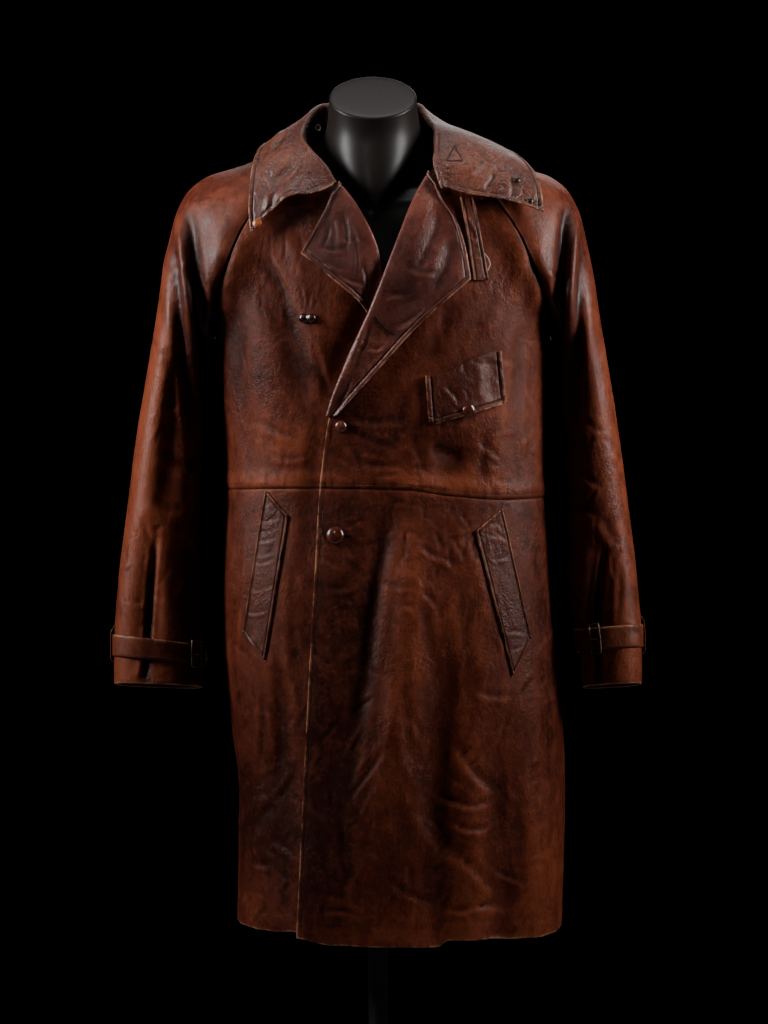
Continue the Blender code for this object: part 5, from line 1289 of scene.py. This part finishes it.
def lapel(side):
    shape = lapelShape[side]
    rows, tip = shape["rows"], shape["tip"]
    knots = np.arange(len(rows["rollZ"]), dtype=float)
    at = np.concatenate((shares(0.2, 78)[:-1] * tip, tip + shares(0.1, 44) * (knots[-1] - tip)))
    values = {}
    for name, column in rows.items():
        if name.startswith("edge"):  # the edge turns sharply at the tip
            lower = smooth(knots[:tip + 1], column[:tip + 1], np.minimum(at, tip))
            upper = smooth(knots[tip:], column[tip:], np.maximum(at, tip))
            values[name] = np.where(at <= tip, lower, upper)[:, None]
        else:
            values[name] = smooth(knots, column, at)[:, None]
    across = np.concatenate((np.linspace(0, 0.85, 44), 1 - edgeSteps[::-1] / 0.085))[None, :]
    rollX = edgeX(side, values["rollZ"])
    x = rollX + (values["edgeX"] - rollX) * across
    height = values["rollZ"] + (values["edgeZ"] - values["rollZ"]) * across
    face, normals = frontSurface(side, x, height)
    lift = values["edgeLift"] + (values["rollLift"] - values["edgeLift"]) * (1 - across) ** 2
    lift = lift + lapelLeaf["curl"] * ease(0.55, 1.0, across)
    lift = lift + lapelLeaf["creases"] * creaseLift(face, shape["creases"])
    lift = lift + lapelLeaf["waves"] * looseLift(face)
    leaf = face + normals * lift[..., None]
    inward, normal, lifted = unit(face[:, 2] - face[:, 0]), normals[:, 0], values["rollLift"]
    radius = (lifted + leather) / 2
    middle = face[:, 0] - inward * lapelLeaf["tuck"] + normal * (lifted - leather) / 2
    bend = [normal * math.sin(turn) - inward * math.cos(turn) for turn in np.radians(np.linspace(-84, 68, 9))]
    points = np.concatenate((np.stack([middle + radius * way for way in bend], axis=1), leaf), axis=1)
    normals = np.concatenate((np.stack(bend, axis=1), normals), axis=1)
    points = points + normals * seamLift(points, dict(end="turned", top="turned"))[..., None]
    leatherPiece(f"{sideWord(side)}Lapel", points, normals, "lapel", worn=("end", "top"))
    sewn(points, normals, "end", stitchIn["turned"], (0.05, 1.0))
    sewn(points, normals, "top", stitchIn["turned"], (0.3, 1.0))


collar()
lapel(right)
lapel(left)
print("collar and lapels turned")


# what is sewn on the fronts

patches = dict(
    throatStrap=dict(
        side=left, panel="leftFrontUpper", rows=48, columns=14, lift=0.0048, stitch="strap",
        corners=((0.112, 1.374), (0.131, 1.374), (0.15, 1.26), (0.1285, 1.26)),
        edges=dict(start="piped", end="piped", top="plain"),
        creases=creaseRows("""
            fold 2.5 1.2 466,236 472,240 480,238; fold 2.5 1 468,258 475,256 484,260;
            trough 2.5 1 467,228 472,233 474,242; ridge 2.5 1 464,216 470,224 474,232;
            trough 2.5 0.8 469,244 474,248 480,247""")),
    breastPocketFlap=dict(
        side=left, panel="leftFrontUpper", rows=58, columns=70, lift=0.0031,
        swell=0.005, wave=0.0042, corner=0.006,
        corners=((0.064, 1.13), (0.167, 1.164), (0.173, 1.093), (0.069, 1.061)),
        edges=dict(start="turned", end="turned", top="turned"), stitch="turned",
        creases=creaseRows("""
            trough 8 2.6 491,356 490,380 493,404; ridge 6 1.2 478,362 478,385 480,402;
            fold 4 1 440,384 452,396 460,408; trough 3 1 464,388 467,396 468,402""")),
    rightPocketWelt=dict(
        side=right, panel="rightFrontSkirt", rows=100, columns=24, lift=0.0027,
        corners=((-0.153, 0.9745), (-0.122, 0.94), (-0.153, 0.743), (-0.184, 0.78)),
        edges=dict(start="piped", end="piped", bottom="piped", top="piped"), stitch="piped",
        creases=tuple(("fold", 3, deep, (256 - 0.14 * (y - 500), y), (268 - 0.1 * (y - 500), y + 5),
                       (286 - 0.13 * (y - 500), y - 2))
                      for y, deep in ((519, 0.5), (530, 0.3), (539, 0.5), (553, 0.25), (561, 0.4),
                                      (588, 0.3), (611, 0.45)))),
    leftPocketWelt=dict(
        side=left, panel="leftFrontSkirt", rows=100, columns=24, lift=0.0027,
        corners=((0.132, 0.919), (0.169, 0.95), (0.208, 0.773), (0.183, 0.721)),
        edges=dict(start="piped", end="piped", bottom="piped", top="piped"), stitch="piped",
        creases=creaseRows("""
            trough 4 0.9 480,528 492,522 504,526; fold 3.5 0.8 484,540 494,536 508,542;
            fold 3 0.5 488,560 498,562 510,556; trough 4 0.7 500,590 504,610 510,632;
            fold 3 0.6 504,636 514,632 526,636; trough 3 0.6 508,650 518,648 526,644""")),
)


def drapeUnder(points, panel):  # the creases of the panel that a patch is sewn to
    return creaseLift(points, bodyCreases[panel]) + looseLift(points, 1.2 if "Skirt" in panel else 1.0)


def patch(name, spec):
    corners = np.array(spec["corners"])
    across = shares(0.06 if spec["columns"] < 30 else 0.1, spec["columns"])[None, :, None]
    down = shares(0.2 if spec["rows"] > 60 else 0.1, spec["rows"])[:, None, None]
    flat = (1 - down) * ((1 - across) * corners[0] + across * corners[1]) + \
        down * ((1 - across) * corners[3] + across * corners[2])
    x, height = flat[..., 0], flat[..., 1]
    down, across = down[..., 0], across[..., 0]
    if "wave" in spec:  # the flap's upper edge waves, and its lower corners are round
        height = height + (1 - down) * spec["wave"] * np.sin(across * 2 * math.pi + math.pi)
        corner = ease(0.1, 0.0, across) + 0.5 * ease(0.92, 1.0, across)
        height = height + spec["corner"] * ease(0.75, 1.0, down) * corner
    points, normals = frontSurface(spec["side"], x, height)
    if spec["panel"].endswith("Upper"):
        points = bridged(points, spec["side"])
    lift = spec["lift"] + spec.get("swell", 0.0) * down * np.sin(math.pi * across * 0.9) ** 2
    lift = lift + drapeUnder(points, spec["panel"]) + creaseLift(points, spec["creases"])
    points = points + normals * lift[..., None]
    points = points + normals * seamLift(points, spec["edges"])[..., None]
    leatherPiece(name, points, normals, "trim", worn=tuple(spec["edges"]))
    for edge in spec["edges"]:
        sewn(points, normals, edge, stitchIn[spec["stitch"]], (0.03, 0.97))


for patchName, patchSpec in patches.items():
    patch(patchName, patchSpec)


# cuff straps, keepers and buckles

cuffs = {
    right: dict(under=-0.893, over=-0.872, buckle=(0.13, 0.23)),
    left: dict(under=-0.842, over=-0.846, buckle=(0.29, 0.39)),
    "halfWidth": 0.034, "start": -0.2, "run": 2.16, "seat": 0.0031, "wrinkle": 0.0007, "keeperHalf": 0.058,
    "keeperSeat": 0.002, "keeperRise": 0.0036, "wire": 0.0013, "prong": 0.0009,
    "prongRise": 0.0011, "overhang": 0.01,
}


def strapLine(side, around):
    strap = cuffs[side]
    return strap["under"] + (strap["over"] - strap["under"]) * (1 - np.abs(1 - around % 2))


def cuffPieces(side):
    word = sideWord(side)
    mirror = np.array((side, 1, 1))
    along = shares(0.34, 190)[None, :]
    across = (shares(0.03, 14) * 2 - 1)[:, None]
    around = cuffs["start"] + cuffs["run"] * along
    tip = 1 - 0.8 * ease(0.965, 1.0, along)
    station = strapLine(side, around) + across * cuffs["halfWidth"] * tip
    points = plainSleeve(side, station, around % 2) * mirror
    normals = sleeveNormal(side, station, around % 2) * mirror
    over = ease(0.86, 0.925, along)
    lift = cuffs["seat"] * (1 + over) + cuffs["wrinkle"] * softNoise(points, 0.016, 2.2)
    points = points + normals * (lift + seamLift(points, dict(bottom="plain", top="plain")))[..., None]
    leatherPiece(f"{word}CuffStrap", points, normals, "trim", worn=("top", "end"))
    for edge in ("bottom", "top"):
        sewn(points, normals, edge, stitchIn["strap"])
    across = shares(0.07, 40)[:, None] * 2 - 1
    around = np.linspace(0.955, 1.045, 9)[None, :]
    station = strapLine(side, around) + across * cuffs["keeperHalf"]
    points = plainSleeve(side, station, around) * mirror
    normals = sleeveNormal(side, station, around) * mirror
    lift = cuffs["keeperSeat"] + cuffs["keeperRise"] * ease(0.98, 0.7, np.abs(across))
    lift = lift + 0.0004 * softNoise(points, 0.01, 4.4)
    leatherPiece(f"{word}CuffKeeper", points + normals * lift[..., None], normals, "trim")
    # the buckle's frame, then its prong across the middle
    first, last = cuffs[side]["buckle"]
    reach = cuffs["halfWidth"] + cuffs["overhang"]
    ways = np.linspace(-1, 1, 13)
    loop = [(first, way) for way in ways] + [(last, way) for way in ways[::-1]]
    prong = [(first + (last - first) * share, 0.0) for share in np.linspace(-0.1, 1.15, 7)]
    seat = cuffs["seat"] + 0.0003 + cuffs["wire"]
    paths = []
    for path, rise in ((loop, 0.0), (prong, cuffs["prongRise"])):
        spots = np.array(path)
        station = strapLine(side, spots[:, 0]) + spots[:, 1] * reach
        at = plainSleeve(side, station, spots[:, 0] % 2) * mirror
        paths.append(at + sleeveNormal(side, station, spots[:, 0] % 2) * mirror * (seat + rise))
    wirePiece(f"{word}CuffBuckle", ((paths[0], True, cuffs["wire"]), (paths[1], False, cuffs["prong"])),
              "brass", "metal", [f"{word}_cuff_buckle"])


for eachSide in (right, left):
    cuffPieces(eachSide)
print("pockets and cuffs sewn on")


# buttons and fittings

buttonSeat, fittingSeat = 0.0006, 0.0004  # how far they stand off the leather
buttons = dict(
    break_button=dict(panel="leftFrontUpper", side=left, x=-0.05, z=1.061, radius=0.008, rise=0.006),
    waist_button=dict(panel="leftFrontSkirt", side=left, x=-0.0575, z=0.913, radius=0.0118, rise=0.0072),
    breast_pocket_button=dict(panel="leftFrontUpper", side=left, x=0.122, z=1.083, radius=0.009, rise=0.006,
                              raised=0.0048),
    toggle_button=dict(panel="rightFrontUpper", side=right, x=-0.095, z=1.208, radius=0.0125, rise=0.008),
)


def domeProfile(radius, rise):
    climb = np.linspace(0, math.pi / 2, 9)
    dome = [(radius * math.cos(a), rise * (0.28 + 0.72 * math.sin(a))) for a in climb[:-1]]
    return [(radius * 0.86, 0.0), (radius * 0.97, rise * 0.1)] + dome + [(radius * 0.06, rise)]


def knotted(rings):  # woven bands of a leather knot
    angle = np.arctan2(rings[..., 1], rings[..., 0])
    reach = np.hypot(rings[..., 0], rings[..., 1]) / rings[0, 0, 0]
    swell = 1 + 0.01 * np.sin(4 * angle + 3 * reach) * ease(0.1, 0.6, reach)
    return rings * swell[..., None]


def twoLobes(rings):  # a knot drawn in at its middle
    wide = rings * np.array((1.0, 0.66, 1.0))
    pinch = 1 - 0.34 * bell(wide[..., :1], 0.0042)
    return wide * np.concatenate((np.ones_like(pinch), pinch, pinch), axis=-1)


for buttonName, button in buttons.items():
    base, normal = frontSurface(button["side"], np.array(button["x"]), np.array(button["z"]))
    seat = drapeUnder(base[None], button["panel"])[0] + buttonSeat + button.get("raised", 0.0)
    base = base + normal * seat
    knot = buttonName == "toggle_button"
    turned(buttonName.title().replace("_", ""), domeProfile(button["radius"], button["rise"]), base, normal,
           "knot" if knot else "button", "dark_leather" if knot else "button", [buttonName],
           shape=twoLobes if knot else knotted)

fittings = dict(
    collar_button=dict(spot=(258, 223), radius=0.0066, rise=0.0034, look="orange", slot="orange_button"),
    collar_stud_upper=dict(spot=(517, 180), radius=0.0046, rise=0.0024, look="dark", slot="dark_metal"),
    collar_stud_lower=dict(spot=(530, 201), radius=0.0046, rise=0.0024, look="dark", slot="dark_metal"),
)


def fromPhoto(panelName, spots, facing=-0.1, columns=None):  # places on a finished panel under photo pixels
    points, normals = (grid[:, :columns] for grid in panels[panelName])
    u, v = photoPlace(points)
    found = []
    for x, y in spots:
        score = (u - x) ** 2 + (v - y) ** 2 + 1e6 * (normals[..., 1] > facing)
        near = np.argsort(score, axis=None)[:4]
        weight = 1 / (score.ravel()[near] + 0.05)
        at = (points.reshape(-1, 3)[near] * weight[:, None]).sum(axis=0) / weight.sum()
        found.append((at, normals.reshape(-1, 3)[near[0]]))
    return np.array([at for at, _ in found]), np.array([up for _, up in found])


for fittingName, fitting in fittings.items():
    (base,), (normal,) = fromPhoto("coatCollar", [fitting["spot"]])
    turned(fittingName.title().replace("_", ""), domeProfile(fitting["radius"], fitting["rise"]),
           base + normal * fittingSeat, normal, fitting["look"], fitting["slot"], [fittingName], sides=28)
eyelet = dict(spot=(317, 128), inner=0.0026, outer=0.0056, rise=0.0018)
(base,), (normal,) = fromPhoto("coatCollar", [eyelet["spot"]], 0.6, collarShape["standColumns"])
normal = unit(normal + np.array((0.0, -0.6, 0.5)))
base = base + normal * 0.0012
ringTurn = np.linspace(0, math.pi, 9)
ringMiddle, ringHalf = (eyelet["outer"] + eyelet["inner"]) / 2, (eyelet["outer"] - eyelet["inner"]) / 2
turned("CollarEyelet", [(ringMiddle + ringHalf * math.cos(a), eyelet["rise"] * math.sin(a)) for a in ringTurn]
       + [(eyelet["inner"] * 0.98, -0.0002)],
       base + normal * 0.0003, normal, "nickel", "metal", ["collar_eyelet"], sides=32)
# a near-black disc as painted shade inside the eyelet's hole
turned("EyeletHole", [(0.0027, 0.0), (0.0027, 0.0002), (0.0004, 0.0002)],
       base + normal * 0.0004, normal, "slit", "dark_leather", [], sides=24)
print("buttons and fittings set")


# form and stand

formShape = dict(
    capRadius=0.0612, capX=-0.007, ringPoints=190, rows=170, edgeRound=0.0038, capRise=0.0006,
    rootDrop=0.04, rootHeight=1.44, rootReach=0.06, joinReach=0.01, joinDepth=0.0025,
    throat=table("height radius front", """
        1.352 .008 -.079; 1.372 .014 -.084; 1.386 .03 -.085; 1.402 .048 -.083; 1.425 .06 -.0775;
        1.45 .064 -.0705; 1.47 .064 -.068; 1.49 .064 -.0755"""),
    rings=table("height y half front back tilt", """
        .8 0 .14 .088 .086 0; .812 0 .158 .102 .1 0; .86 0 .168 .112 .11 0; .975 0 .158 .106 .102 0;
        1.1 0 .168 .114 .112 0; 1.2 0 .182 .12 .122 0; 1.27 0 .198 .114 .122 0; 1.33 .002 .214 .1 .114 0;
        1.375 .004 .226 .082 .098 0; 1.4 .006 .224 .07 .086 0; 1.4193 .008 .21 .062 .078 0;
        1.43 .01 .178 .06 .074 2; 1.44 .008 .13 .058 .064 5; 1.452 .004 .088 .06 .06 9;
        1.47 -.002 .068 .061 .057 16; 1.495 -.012 .0625 .0612 .059 27; 1.5195 -.0255 .0612 .0612 .0612 36"""),
)


def dressForm():
    shape = formShape
    rings = shape["rings"]
    knots = np.arange(len(rings["height"]), dtype=float)
    at = np.linspace(0, knots[-1], shape["rows"])
    height, y, half, front, back, tilt = (smooth(knots, rings[name], at)[:, None]
                                          for name in ("height", "y", "half", "front", "back", "tilt"))
    turn = np.arange(shape["ringPoints"]) * 2 * math.pi / shape["ringPoints"]
    turn = turn - 0.8 * np.sin(turn)  # more points in front
    sine, cosine = np.sin(turn)[None, :], np.cos(turn)[None, :]
    lean = np.radians(tilt)
    forward = np.where(cosine >= 0, front, back) * cosine
    points = np.stack(np.broadcast_arrays(half * sine + shape["capX"] * ease(1.4, 1.5, height),
                                          y - forward * np.cos(lean),
                                          height - forward * np.sin(lean)), axis=-1)
    # the neck's root sits lower in front than at the sides
    root = shape["rootDrop"] * bell(height - shape["rootHeight"], shape["rootReach"])
    root = root * ease(1.515, 1.47, height)
    points[..., 2] -= root * ease(-0.2, 1.0, cosine)
    points = evened(points, 70)
    # in front the neck narrows downwards to the throat
    x, front, z = points[..., 0] - shape["capX"], points[..., 1], points[..., 2]
    throat = shape["throat"]
    radius, fore = (smooth(throat["height"], throat[name], z) for name in ("radius", "front"))
    column = fore + radius - np.sqrt(np.maximum(radius ** 2 - x ** 2, 0.0))
    near = np.maximum(shape["joinReach"] - np.abs(column - front), 0) / shape["joinReach"]
    joined = np.minimum(column, front) - near ** 2 * shape["joinDepth"]
    weight = ease(1.34, 1.365, z) * (1 - ease(1.444, 1.482, z)) * (cosine > 0) * (np.abs(x) < 0.075)
    points[..., 1] += weight * (joined - front)
    points = evened(points, 6)
    lean = math.radians(rings["tilt"][-1])
    middle = np.array((shape["capX"], rings["y"][-1], rings["height"][-1]))
    up = np.array((0.0, -math.sin(lean), math.cos(lean)))
    ahead = np.array((0.0, -math.cos(lean), -math.sin(lean)))
    cap = []
    for angle in np.linspace(0, math.pi / 2, 7)[1:]:  # the cap's edge is rounded over
        radius = shape["capRadius"] - shape["edgeRound"] * (1 - math.cos(angle))
        cap.append(middle + up * shape["edgeRound"] * math.sin(angle)
                   + radius * (np.sin(turn)[:, None] * np.array((1.0, 0, 0)) + np.cos(turn)[:, None] * ahead))
    for share in (0.8, 0.5, 0.2):
        lifted = middle + up * (shape["edgeRound"] + shape["capRise"] * (1 - share ** 2))
        cap.append(lifted + share * (cap[5] - middle - up * shape["edgeRound"]))
    points = np.concatenate((points, np.array(cap)))
    place("DressForm", ringMesh("DressForm", points, 60), "form", "form", ["dress_form"])


dressForm()
poleTop = 0.7997
turned("StandPole", [(0.0135, 0.0123), (0.016, 0.0133), (0.016, 0.02), (0.0132, 0.024), (0.0132, 0.7),
                     (0.0158, 0.704), (0.016, 0.722), (0.0152, 0.7262), (0.0142, 0.73),
                     (0.0142, poleTop - 0.001), (0.0136, poleTop)],
       np.zeros(3), (0, 0, 1), "stand", "stand", ["stand_pole"], sides=48)
turned("StandBase", [(0.196, 0.0), (0.1985, 0.0008), (0.2, 0.003), (0.2, 0.007), (0.1975, 0.01),
                     (0.19, 0.0114), (0.05, 0.0119), (0.03, 0.012), (0.004, 0.012)],
       np.zeros(3), (0, 0, 1), "stand", "stand", ["stand_base"], sides=96)
print("form and stand made")


# stitches, laid along every sewn line

stitch = dict(pitch=0.0034, length=0.00125, width=0.00042, height=0.00034)
stitchSeat = 0.00012


def stitchTree():
    tree = bpy.data.node_groups.new("sewStitches", "GeometryNodeTree")
    tree.interface.new_socket("Geometry", in_out="INPUT", socket_type="NodeSocketGeometry")
    sizes = {}
    for label in stitch:
        sizes[label] = tree.interface.new_socket(label.title(), in_out="INPUT", socket_type="NodeSocketFloat")
        sizes[label].default_value = stitch[label]
    tree.interface.new_socket("Geometry", in_out="OUTPUT", socket_type="NodeSocketGeometry")
    given, result = node(tree, "NodeGroupInput"), node(tree, "NodeGroupOutput")
    line = node(tree, "GeometryNodeMeshToCurve")
    even = node(tree, "GeometryNodeResampleCurve", mode="LENGTH")
    bead = node(tree, "GeometryNodeMeshUVSphere")
    for label, value in (("Segments", 6), ("Rings", 4), ("Radius", 1.0)):
        bead.inputs[label].default_value = value
    scale = node(tree, "ShaderNodeCombineXYZ")
    tangent = node(tree, "GeometryNodeInputTangent")
    upward = node(tree, "GeometryNodeInputNamedAttribute", data_type="FLOAT_VECTOR")
    upward.inputs["Name"].default_value = "facing"
    ahead = node(tree, "FunctionNodeAlignRotationToVector", axis="X")
    level = node(tree, "FunctionNodeAlignRotationToVector", axis="Z", pivot_axis="X")
    spread = node(tree, "GeometryNodeInstanceOnPoints")
    real = node(tree, "GeometryNodeRealizeInstances")
    paint = node(tree, "GeometryNodeSetMaterial")
    paint.inputs["Material"].default_value = finishes["thread"]
    for source, out, target, into in (
            (given, "Geometry", line, "Mesh"), (line, "Curve", even, "Curve"),
            (given, "Pitch", even, "Length"),
            (given, "Length", scale, "X"), (given, "Width", scale, "Y"), (given, "Height", scale, "Z"),
            (tangent, "Tangent", ahead, "Vector"), (ahead, "Rotation", level, "Rotation"),
            (upward, "Attribute", level, "Vector"), (even, "Curve", spread, "Points"),
            (bead, "Mesh", spread, "Instance"), (level, "Rotation", spread, "Rotation"),
            (scale, "Vector", spread, "Scale"), (spread, "Instances", real, "Geometry"),
            (real, "Geometry", paint, "Geometry"), (paint, "Geometry", result, "Geometry")):
        join(tree, source.outputs[out], target.inputs[into])
    return tree, sizes


def sewAll():
    corners, lines, facing = [], [], []
    for points, normals in stitchRuns:
        start = len(corners)
        corners += (points + normals * stitchSeat).tolist()
        facing += normals.tolist()
        lines += [(start + i, start + i + 1) for i in range(len(points) - 1)]
    mesh = bpy.data.meshes.new("stitchLines")
    mesh.from_pydata(corners, lines, [])
    layer = mesh.attributes.new("facing", "FLOAT_VECTOR", "POINT")
    layer.data.foreach_set("vector", np.array(facing, np.float32).ravel())
    draft = bpy.data.objects.new("stitchLines", mesh)
    bpy.context.scene.collection.objects.link(draft)
    tree, sizes = stitchTree()
    sewing = draft.modifiers.new("sew", "NODES")
    sewing.node_group = tree
    for label, value in stitch.items():
        sewing[sizes[label].identifier] = value
    sewnMesh = bpy.data.meshes.new_from_object(draft.evaluated_get(bpy.context.evaluated_depsgraph_get()))
    draft.modifiers.remove(sewing)
    bpy.data.objects.remove(draft)
    sewnMesh.name = "Stitches"
    sewnMesh.materials.clear()
    sewnMesh.shade_smooth()
    print(f"stitches: {len(sewnMesh.polygons)} faces")
    place("Stitches", sewnMesh, "thread", "dark_leather", [])


sewAll()

# loose ends and buttonholes

# the buttonholes and the collar's triangle are near-black lines, painted shade in their slits
smallTrims = dict(
    lapelHole=dict(panel="leftLapel", path=((375, 317), (381, 324), (387, 330), (393, 335)), lift=0.0004,
                   radius=0.0013),
    waistHole=dict(panel="leftFrontSkirt", path=((341, 535), (346, 536), (351, 536)),
                   lift=0.0004, radius=0.0009),
    breakHole=dict(panel="leftFrontUpper", path=((345, 425), (351, 426), (357, 427)),
                   lift=0.0004, radius=0.0008),
    collarTriangle=dict(panel="coatCollar", closed=True, lift=0.0002, radius=0.0006,
                        path=((446, 160), (449, 156), (452, 151), (455, 146), (457, 151), (460, 156),
                              (462, 161), (458, 161), (454, 161), (450, 161))),
    looseThread=dict(panel="leftFrontUpper", path=((483, 254), (487, 259), (489, 265), (487, 271)),
                     lift=(0.004, 0.0058, 0.0056, 0.003), radius=0.0009, look="pale", slot="leather"),
)
for trimName, trim in smallTrims.items():
    at, up = fromPhoto(trim["panel"], trim["path"])
    path = at + up * np.reshape(trim["lift"], (-1, 1))
    wirePiece(trimName, ((path, trim.get("closed", False), trim["radius"]),), trim.get("look", "slit"),
              trim.get("slot", "dark_leather"), [])
print("stitches and holes sewn")


print("sheets measured")

# floor, light and camera

floorMesh = bpy.data.meshes.new("floor")
floorRing = [(1.25 * math.cos(a), 1.25 * math.sin(a), -0.0004) for a in np.linspace(0, 2 * math.pi, 97)[:-1]]
floorMesh.from_pydata(floorRing, [], [list(range(96))])
floorLook = bpy.data.materials.new("paleFloor")
floorLook.use_nodes = True
floorLook.node_tree.nodes["Principled BSDF"].inputs["Base Color"].default_value = (0.62, 0.61, 0.59, 1)
floorLook.node_tree.nodes["Principled BSDF"].inputs["Roughness"].default_value = 0.7
floorMesh.materials.append(floorLook)
floor = bpy.data.objects.new("floor", floorMesh)
bpy.context.scene.collection.objects.link(floor)

world = bpy.data.worlds.new("studio")
bpy.context.scene.world = world
world.use_nodes = True
world.node_tree.nodes["Background"].inputs["Color"].default_value = (0.0003, 0.0003, 0.0003, 1)

lamps = dict(
    leftBox=dict(at=(-1.65, -0.48, 1.85), aim=(0.0, 0.0, 1.28), size=(0.35, 1.1), power=14.5, spread=84),
    rightBox=dict(at=(1.65, -0.46, 1.85), aim=(0.0, 0.0, 1.28), size=(0.35, 1.1), power=13, spread=84),
    topBox=dict(at=(0.0, 0.22, 3.1), aim=(0.0, 0.0, 1.3), size=(1.6, 0.4), power=14),
    frontBox=dict(at=(-0.9, -3.0, 2.9), aim=(0.0, 0.0, 1.15), size=(0.34, 0.95), power=0.1, spread=11),
    fillBox=dict(at=(0.3, -4.2, 1.6), aim=(0.0, 0.0, 1.0), size=(1.4, 1.4), power=0.5),
    backBox=dict(at=(0.2, 2.6, 2.7), aim=(0.0, 0.0, 0.95), size=(1.6, 1.0), power=9),
)
for lampName, lamp in lamps.items():
    light = bpy.data.lights.new(lampName, "AREA")
    light.shape = "RECTANGLE"
    light.size, light.size_y = lamp["size"]
    light.energy = lamp["power"]
    light.spread = math.radians(lamp.get("spread", 180))
    made = bpy.data.objects.new(lampName, light)
    made.location = lamp["at"]
    made.rotation_euler = (Vector(lamp["aim"]) - Vector(lamp["at"])).to_track_quat("-Z", "Y").to_euler()
    made.visible_camera = False
    bpy.context.scene.collection.objects.link(made)

camera = bpy.data.cameras.new("photoView")
camera.lens = view["lens"]
camera.sensor_width = 36
camera.sensor_fit = "AUTO"
cameraObject = bpy.data.objects.new("photoView", camera)
cameraObject.location = (view["x"], view["y"], view["z"])
cameraObject.rotation_euler = (math.pi / 2, 0, 0)
bpy.context.scene.collection.objects.link(cameraObject)
bpy.context.scene.camera = cameraObject
print("stage lit")
